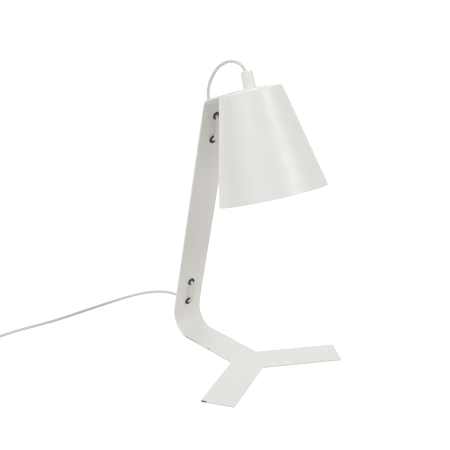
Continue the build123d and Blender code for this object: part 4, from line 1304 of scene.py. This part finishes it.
@dataclass(frozen=True)
class ScrewBulb:
    """The bulb: contact, black glass, screw cap with its rolled thread, housing, board, globe.

    Attributes:
        thread_radius: The radius of the cap's thread, to the middle of its ridge.
        thread_top: The top of the thread.
        pitch: Its pitch.
        turns: Its turns.
        ridge: The radius of its ridge.
        thread_steps: Steps in one of its turns.
        globe_radius: The globe's outer radius.
        globe_cut: The globe's radius where it meets the housing.
        board_top: The height where globe and housing meet.
        wall: The globe's wall.
        diodes: The number of diodes on the board.
        diode_ring: The radius of their circle.
        diode_top: The height of their outer faces.
        diode_size: Their width, depth and height.
    """

    thread_radius: float = 6.1
    thread_top: float = -46.1
    pitch: float = 2.82
    turns: float = 4.0
    ridge: float = 0.62
    thread_steps: int = 64
    globe_radius: float = 22.5
    globe_cut: float = 17.6
    board_top: float = -83.0
    wall: float = 1.2
    diodes: int = 8
    diode_ring: float = 10.0
    diode_top: float = -85.0
    diode_size: Triple = (2.9, 2.2, 0.2)

    def globe_outline(self) -> list[Pair]:
        """The section of the opal globe, a hollow part of a ball.

        Returns:
            Radius and height pairs.
        """
        drop = math.sqrt(self.globe_radius**2 - self.globe_cut**2)
        centre = (0.0, self.board_top - drop)
        outer, inner = self.globe_radius, self.globe_radius - self.wall
        start, inner_start = (math.degrees(math.asin(drop / r)) for r in (outer, inner))
        return [*arc(centre, outer, start, -90, steps=40),
                *arc(centre, inner, -90, inner_start, steps=32)]

    def build(self, threads: RuleTree, crown: RuleTree) -> None:
        """Dresses the bulb.

        Args:
            threads: The rule that makes threads.
            crown: The rule that sets small blocks in a circle.
        """
        globe = lathe("opal_globe", self.globe_outline(), HEAD, segments=128)
        seat_piece(globe, OPAL, ["bulb_globe"], Body.BULB)
        seat_eased("bulb_housing", "bulb_skirt", Edge.MOULDED, GLOSS_PLASTIC, Body.BULB)
        seat_eased("bulb_cap", "screw_cap", Edge.TURNED, NICKEL, Body.BULB)
        dress(BLACK_GLASS, "bulb_insulator")
        dress(BOARD, "bulb_board")
        dress(NICKEL, "bulb_tip")
        height = self.pitch * self.turns
        sizes = {"Radius": self.thread_radius * MM, "Height": height * MM,
                 "Turns": self.turns, "Ridge": self.ridge * MM,
                 "Steps": self.thread_steps}
        place = HEAD.matrix(self.thread_top - height)
        thread = threads.grow("cap_thread", sizes, NICKEL, place)
        seat_piece(thread, NICKEL, body=Body.BULB)
        wide, deep, high = self.diode_size
        sizes = {"Count": self.diodes, "Radius": self.diode_ring * MM, "Wide": wide * MM,
                 "Deep": deep * MM, "High": high * MM}
        lit = crown.grow("board_diodes", sizes, DIODE, HEAD.matrix(self.diode_top))
        seat_piece(lit, DIODE, body=Body.BULB)


# Studio


@dataclass(frozen=True)
class SoftBox:
    """One square soft light that faces the shade.

    Attributes:
        name: The light's name.
        azimuth: Its turn about Z from the front of the lamp, in degrees.
        elevation: How high it stands, in degrees.
        size: Its side in metres.
        power: Its power in watts.
        colour: Its colour.
        target: The middle of the shade, in metres.
        away: How far it stands from there.
    """

    name: str
    azimuth: float
    elevation: float
    size: float
    power: float
    colour: Triple
    target: Triple = (0.0, -0.03, 0.37)
    away: float = 4.0

    def hang(self) -> None:
        """Hangs the light, turned to the shade."""
        light = bpy.data.lights.new(self.name, "AREA")
        light.shape = "SQUARE"
        light.size = self.size
        light.energy = self.power
        light.color = self.colour
        way = way_to(self.azimuth, self.elevation)
        turned = way.to_track_quat("Z", "Y").to_matrix().to_4x4()
        place = Matrix.Translation(Vector(self.target) + way * self.away)
        new_object(self.name, light).matrix_world = place @ turned


@dataclass(frozen=True)
class Studio:
    """The camera, the pale floor and the soft lights.

    Attributes:
        eye: The camera's place, in millimetres.
        azimuth: Its turn about Z, in degrees.
        elevation: How far it looks down.
        roll: Its turn about its own line of sight.
        lens: Its focal length, in millimetres.
        sensor: The width of its sensor.
        clip: How far it sees, in metres.
        floor_reach: Half the floor's side, in metres.
        floor_drop: How far the floor lies under the table's plane, in millimetres.
        floor_grey: The lightness of its paper.
        floor_glow: The strength of the light that makes it read as white.
        floor_lift: The share of that light.
        sky: The strength of the even light from all round.
        sky_colour: Its colour.
        boxes: The soft boxes.
    """

    eye: Triple = (-886.5, -1062.5, 729.8)
    azimuth: float = -38.36
    elevation: float = 19.474
    roll: float = -1.524
    lens: float = 74.87
    sensor: float = 36.0
    clip: float = 50.0
    floor_reach: float = 15.0
    floor_drop: float = 0.1
    floor_grey: float = 0.86
    floor_glow: float = 1.36
    floor_lift: float = 0.72
    sky: float = 0.427
    sky_colour: Triple = (1.0, 0.926, 0.703)
    boxes: tuple[SoftBox, ...] = (
        SoftBox("front_box", 12.0, 39.0, 0.95, 36.3, (0.886, 1.0, 0.955)),
        SoftBox("front_fill", 24.0, 36.0, 1.0, 23.7, (0.79, 0.76, 1.0)),
        SoftBox("side_box", -110.0, 30.0, 1.3, 24.9, (0.782, 0.927, 1.0)),
        SoftBox("left_box", -75.0, 30.0, 1.3, 26.7, (0.839, 0.788, 1.0)),
        SoftBox("rear_right_box", 150.0, 60.0, 2.0, 34.1, (0.903, 0.916, 1.0)),
        SoftBox("rear_left_box", -150.0, 60.0, 2.0, 26.5, (0.891, 0.952, 1.0)),
    )

    def place_camera(self) -> None:
        """Sets the camera as the photograph's stood."""
        az, roll = math.radians(self.azimuth), math.radians(self.roll)
        right = Vector((math.cos(az), math.sin(az), 0))
        back = way_to(self.azimuth, self.elevation)
        up = back.cross(right)
        across = math.cos(roll) * right + math.sin(roll) * up
        upward = math.cos(roll) * up - math.sin(roll) * right
        data = bpy.data.cameras.new("photo_camera")
        data.lens = self.lens
        data.sensor_width = self.sensor
        data.clip_end = self.clip
        camera = new_object("photo_camera", data)
        turned = Matrix((across, upward, back)).transposed().to_4x4()
        camera.matrix_world = Matrix.Translation(MM * Vector(self.eye)) @ turned
        bpy.context.scene.camera = camera

    def lay_floor(self) -> None:
        """Lays a pale floor that reads as white, takes a soft shadow and is clear from below."""
        work = bmesh.new()
        bmesh.ops.create_grid(work, x_segments=1, y_segments=1, size=self.floor_reach,
                              matrix=Matrix.Translation((0.0, 0.0, -self.floor_drop * MM)))
        material = bpy.data.materials.new("pale_floor")
        sheet = blank_sheet(material)
        grey = self.floor_grey
        matt = sheet.out("ShaderNodeBsdfDiffuse", {"Color": (grey, grey, grey, 1.0)})
        glow = sheet.glow("ShaderNodeEmission", WHITE, self.floor_glow)
        paper = sheet.mixed_shader(self.floor_lift, matt, glow)
        shown = sheet.mixed_shader(sheet.seen_directly(), matt, paper)
        below = sheet.add("ShaderNodeNewGeometry").outputs["Backfacing"]
        camera = sheet.add("ShaderNodeLightPath").outputs["Is Camera Ray"]
        clear = sheet.out("ShaderNodeBsdfTransparent")
        whole = sheet.mixed_shader(sheet.maths("MULTIPLY", below, camera), shown, clear)
        sheet.add("ShaderNodeOutputMaterial", {"Surface": whole})
        floor = mesh_object("pale_floor", work)
        floor.data.materials.append(material)

    def hang_lights(self) -> None:
        """Sets the even light and the soft boxes."""
        world = bpy.data.worlds.new("studio_air")
        sheet = blank_sheet(world)
        even = sheet.glow("ShaderNodeBackground", self.sky_colour, self.sky)
        white = sheet.glow("ShaderNodeBackground", WHITE, 1.0)
        shown = sheet.mixed_shader(sheet.seen_directly(), even, white)
        sheet.add("ShaderNodeOutputWorld", {"Surface": shown})
        bpy.context.scene.world = world
        for box in self.boxes:
            box.hang()
        bpy.context.scene.view_settings.view_transform = "Standard"


def main() -> None:
    """Builds the scene, camera and flex first, and reports each piece."""
    logging.basicConfig(level=logging.INFO, format="%(name)s: %(message)s")
    studio, switch, plug = Studio(), InlineSwitch(), FlatPlug()
    studio.place_camera()
    threads, rings, crown = thread_rule(), ring_rule(), crown_rule()
    flex = Flex(switch, plug)
    flex.build(switch.build(rings), plug.build())
    FoldedStand().build(flex.holes)
    ConeShade().build()
    TopFitting().build(threads)
    LampHolder().build(crown)
    ScrewBulb().build(threads, crown)
    studio.lay_floor()
    studio.hang_lights()


if __name__ == "__main__":
    main()
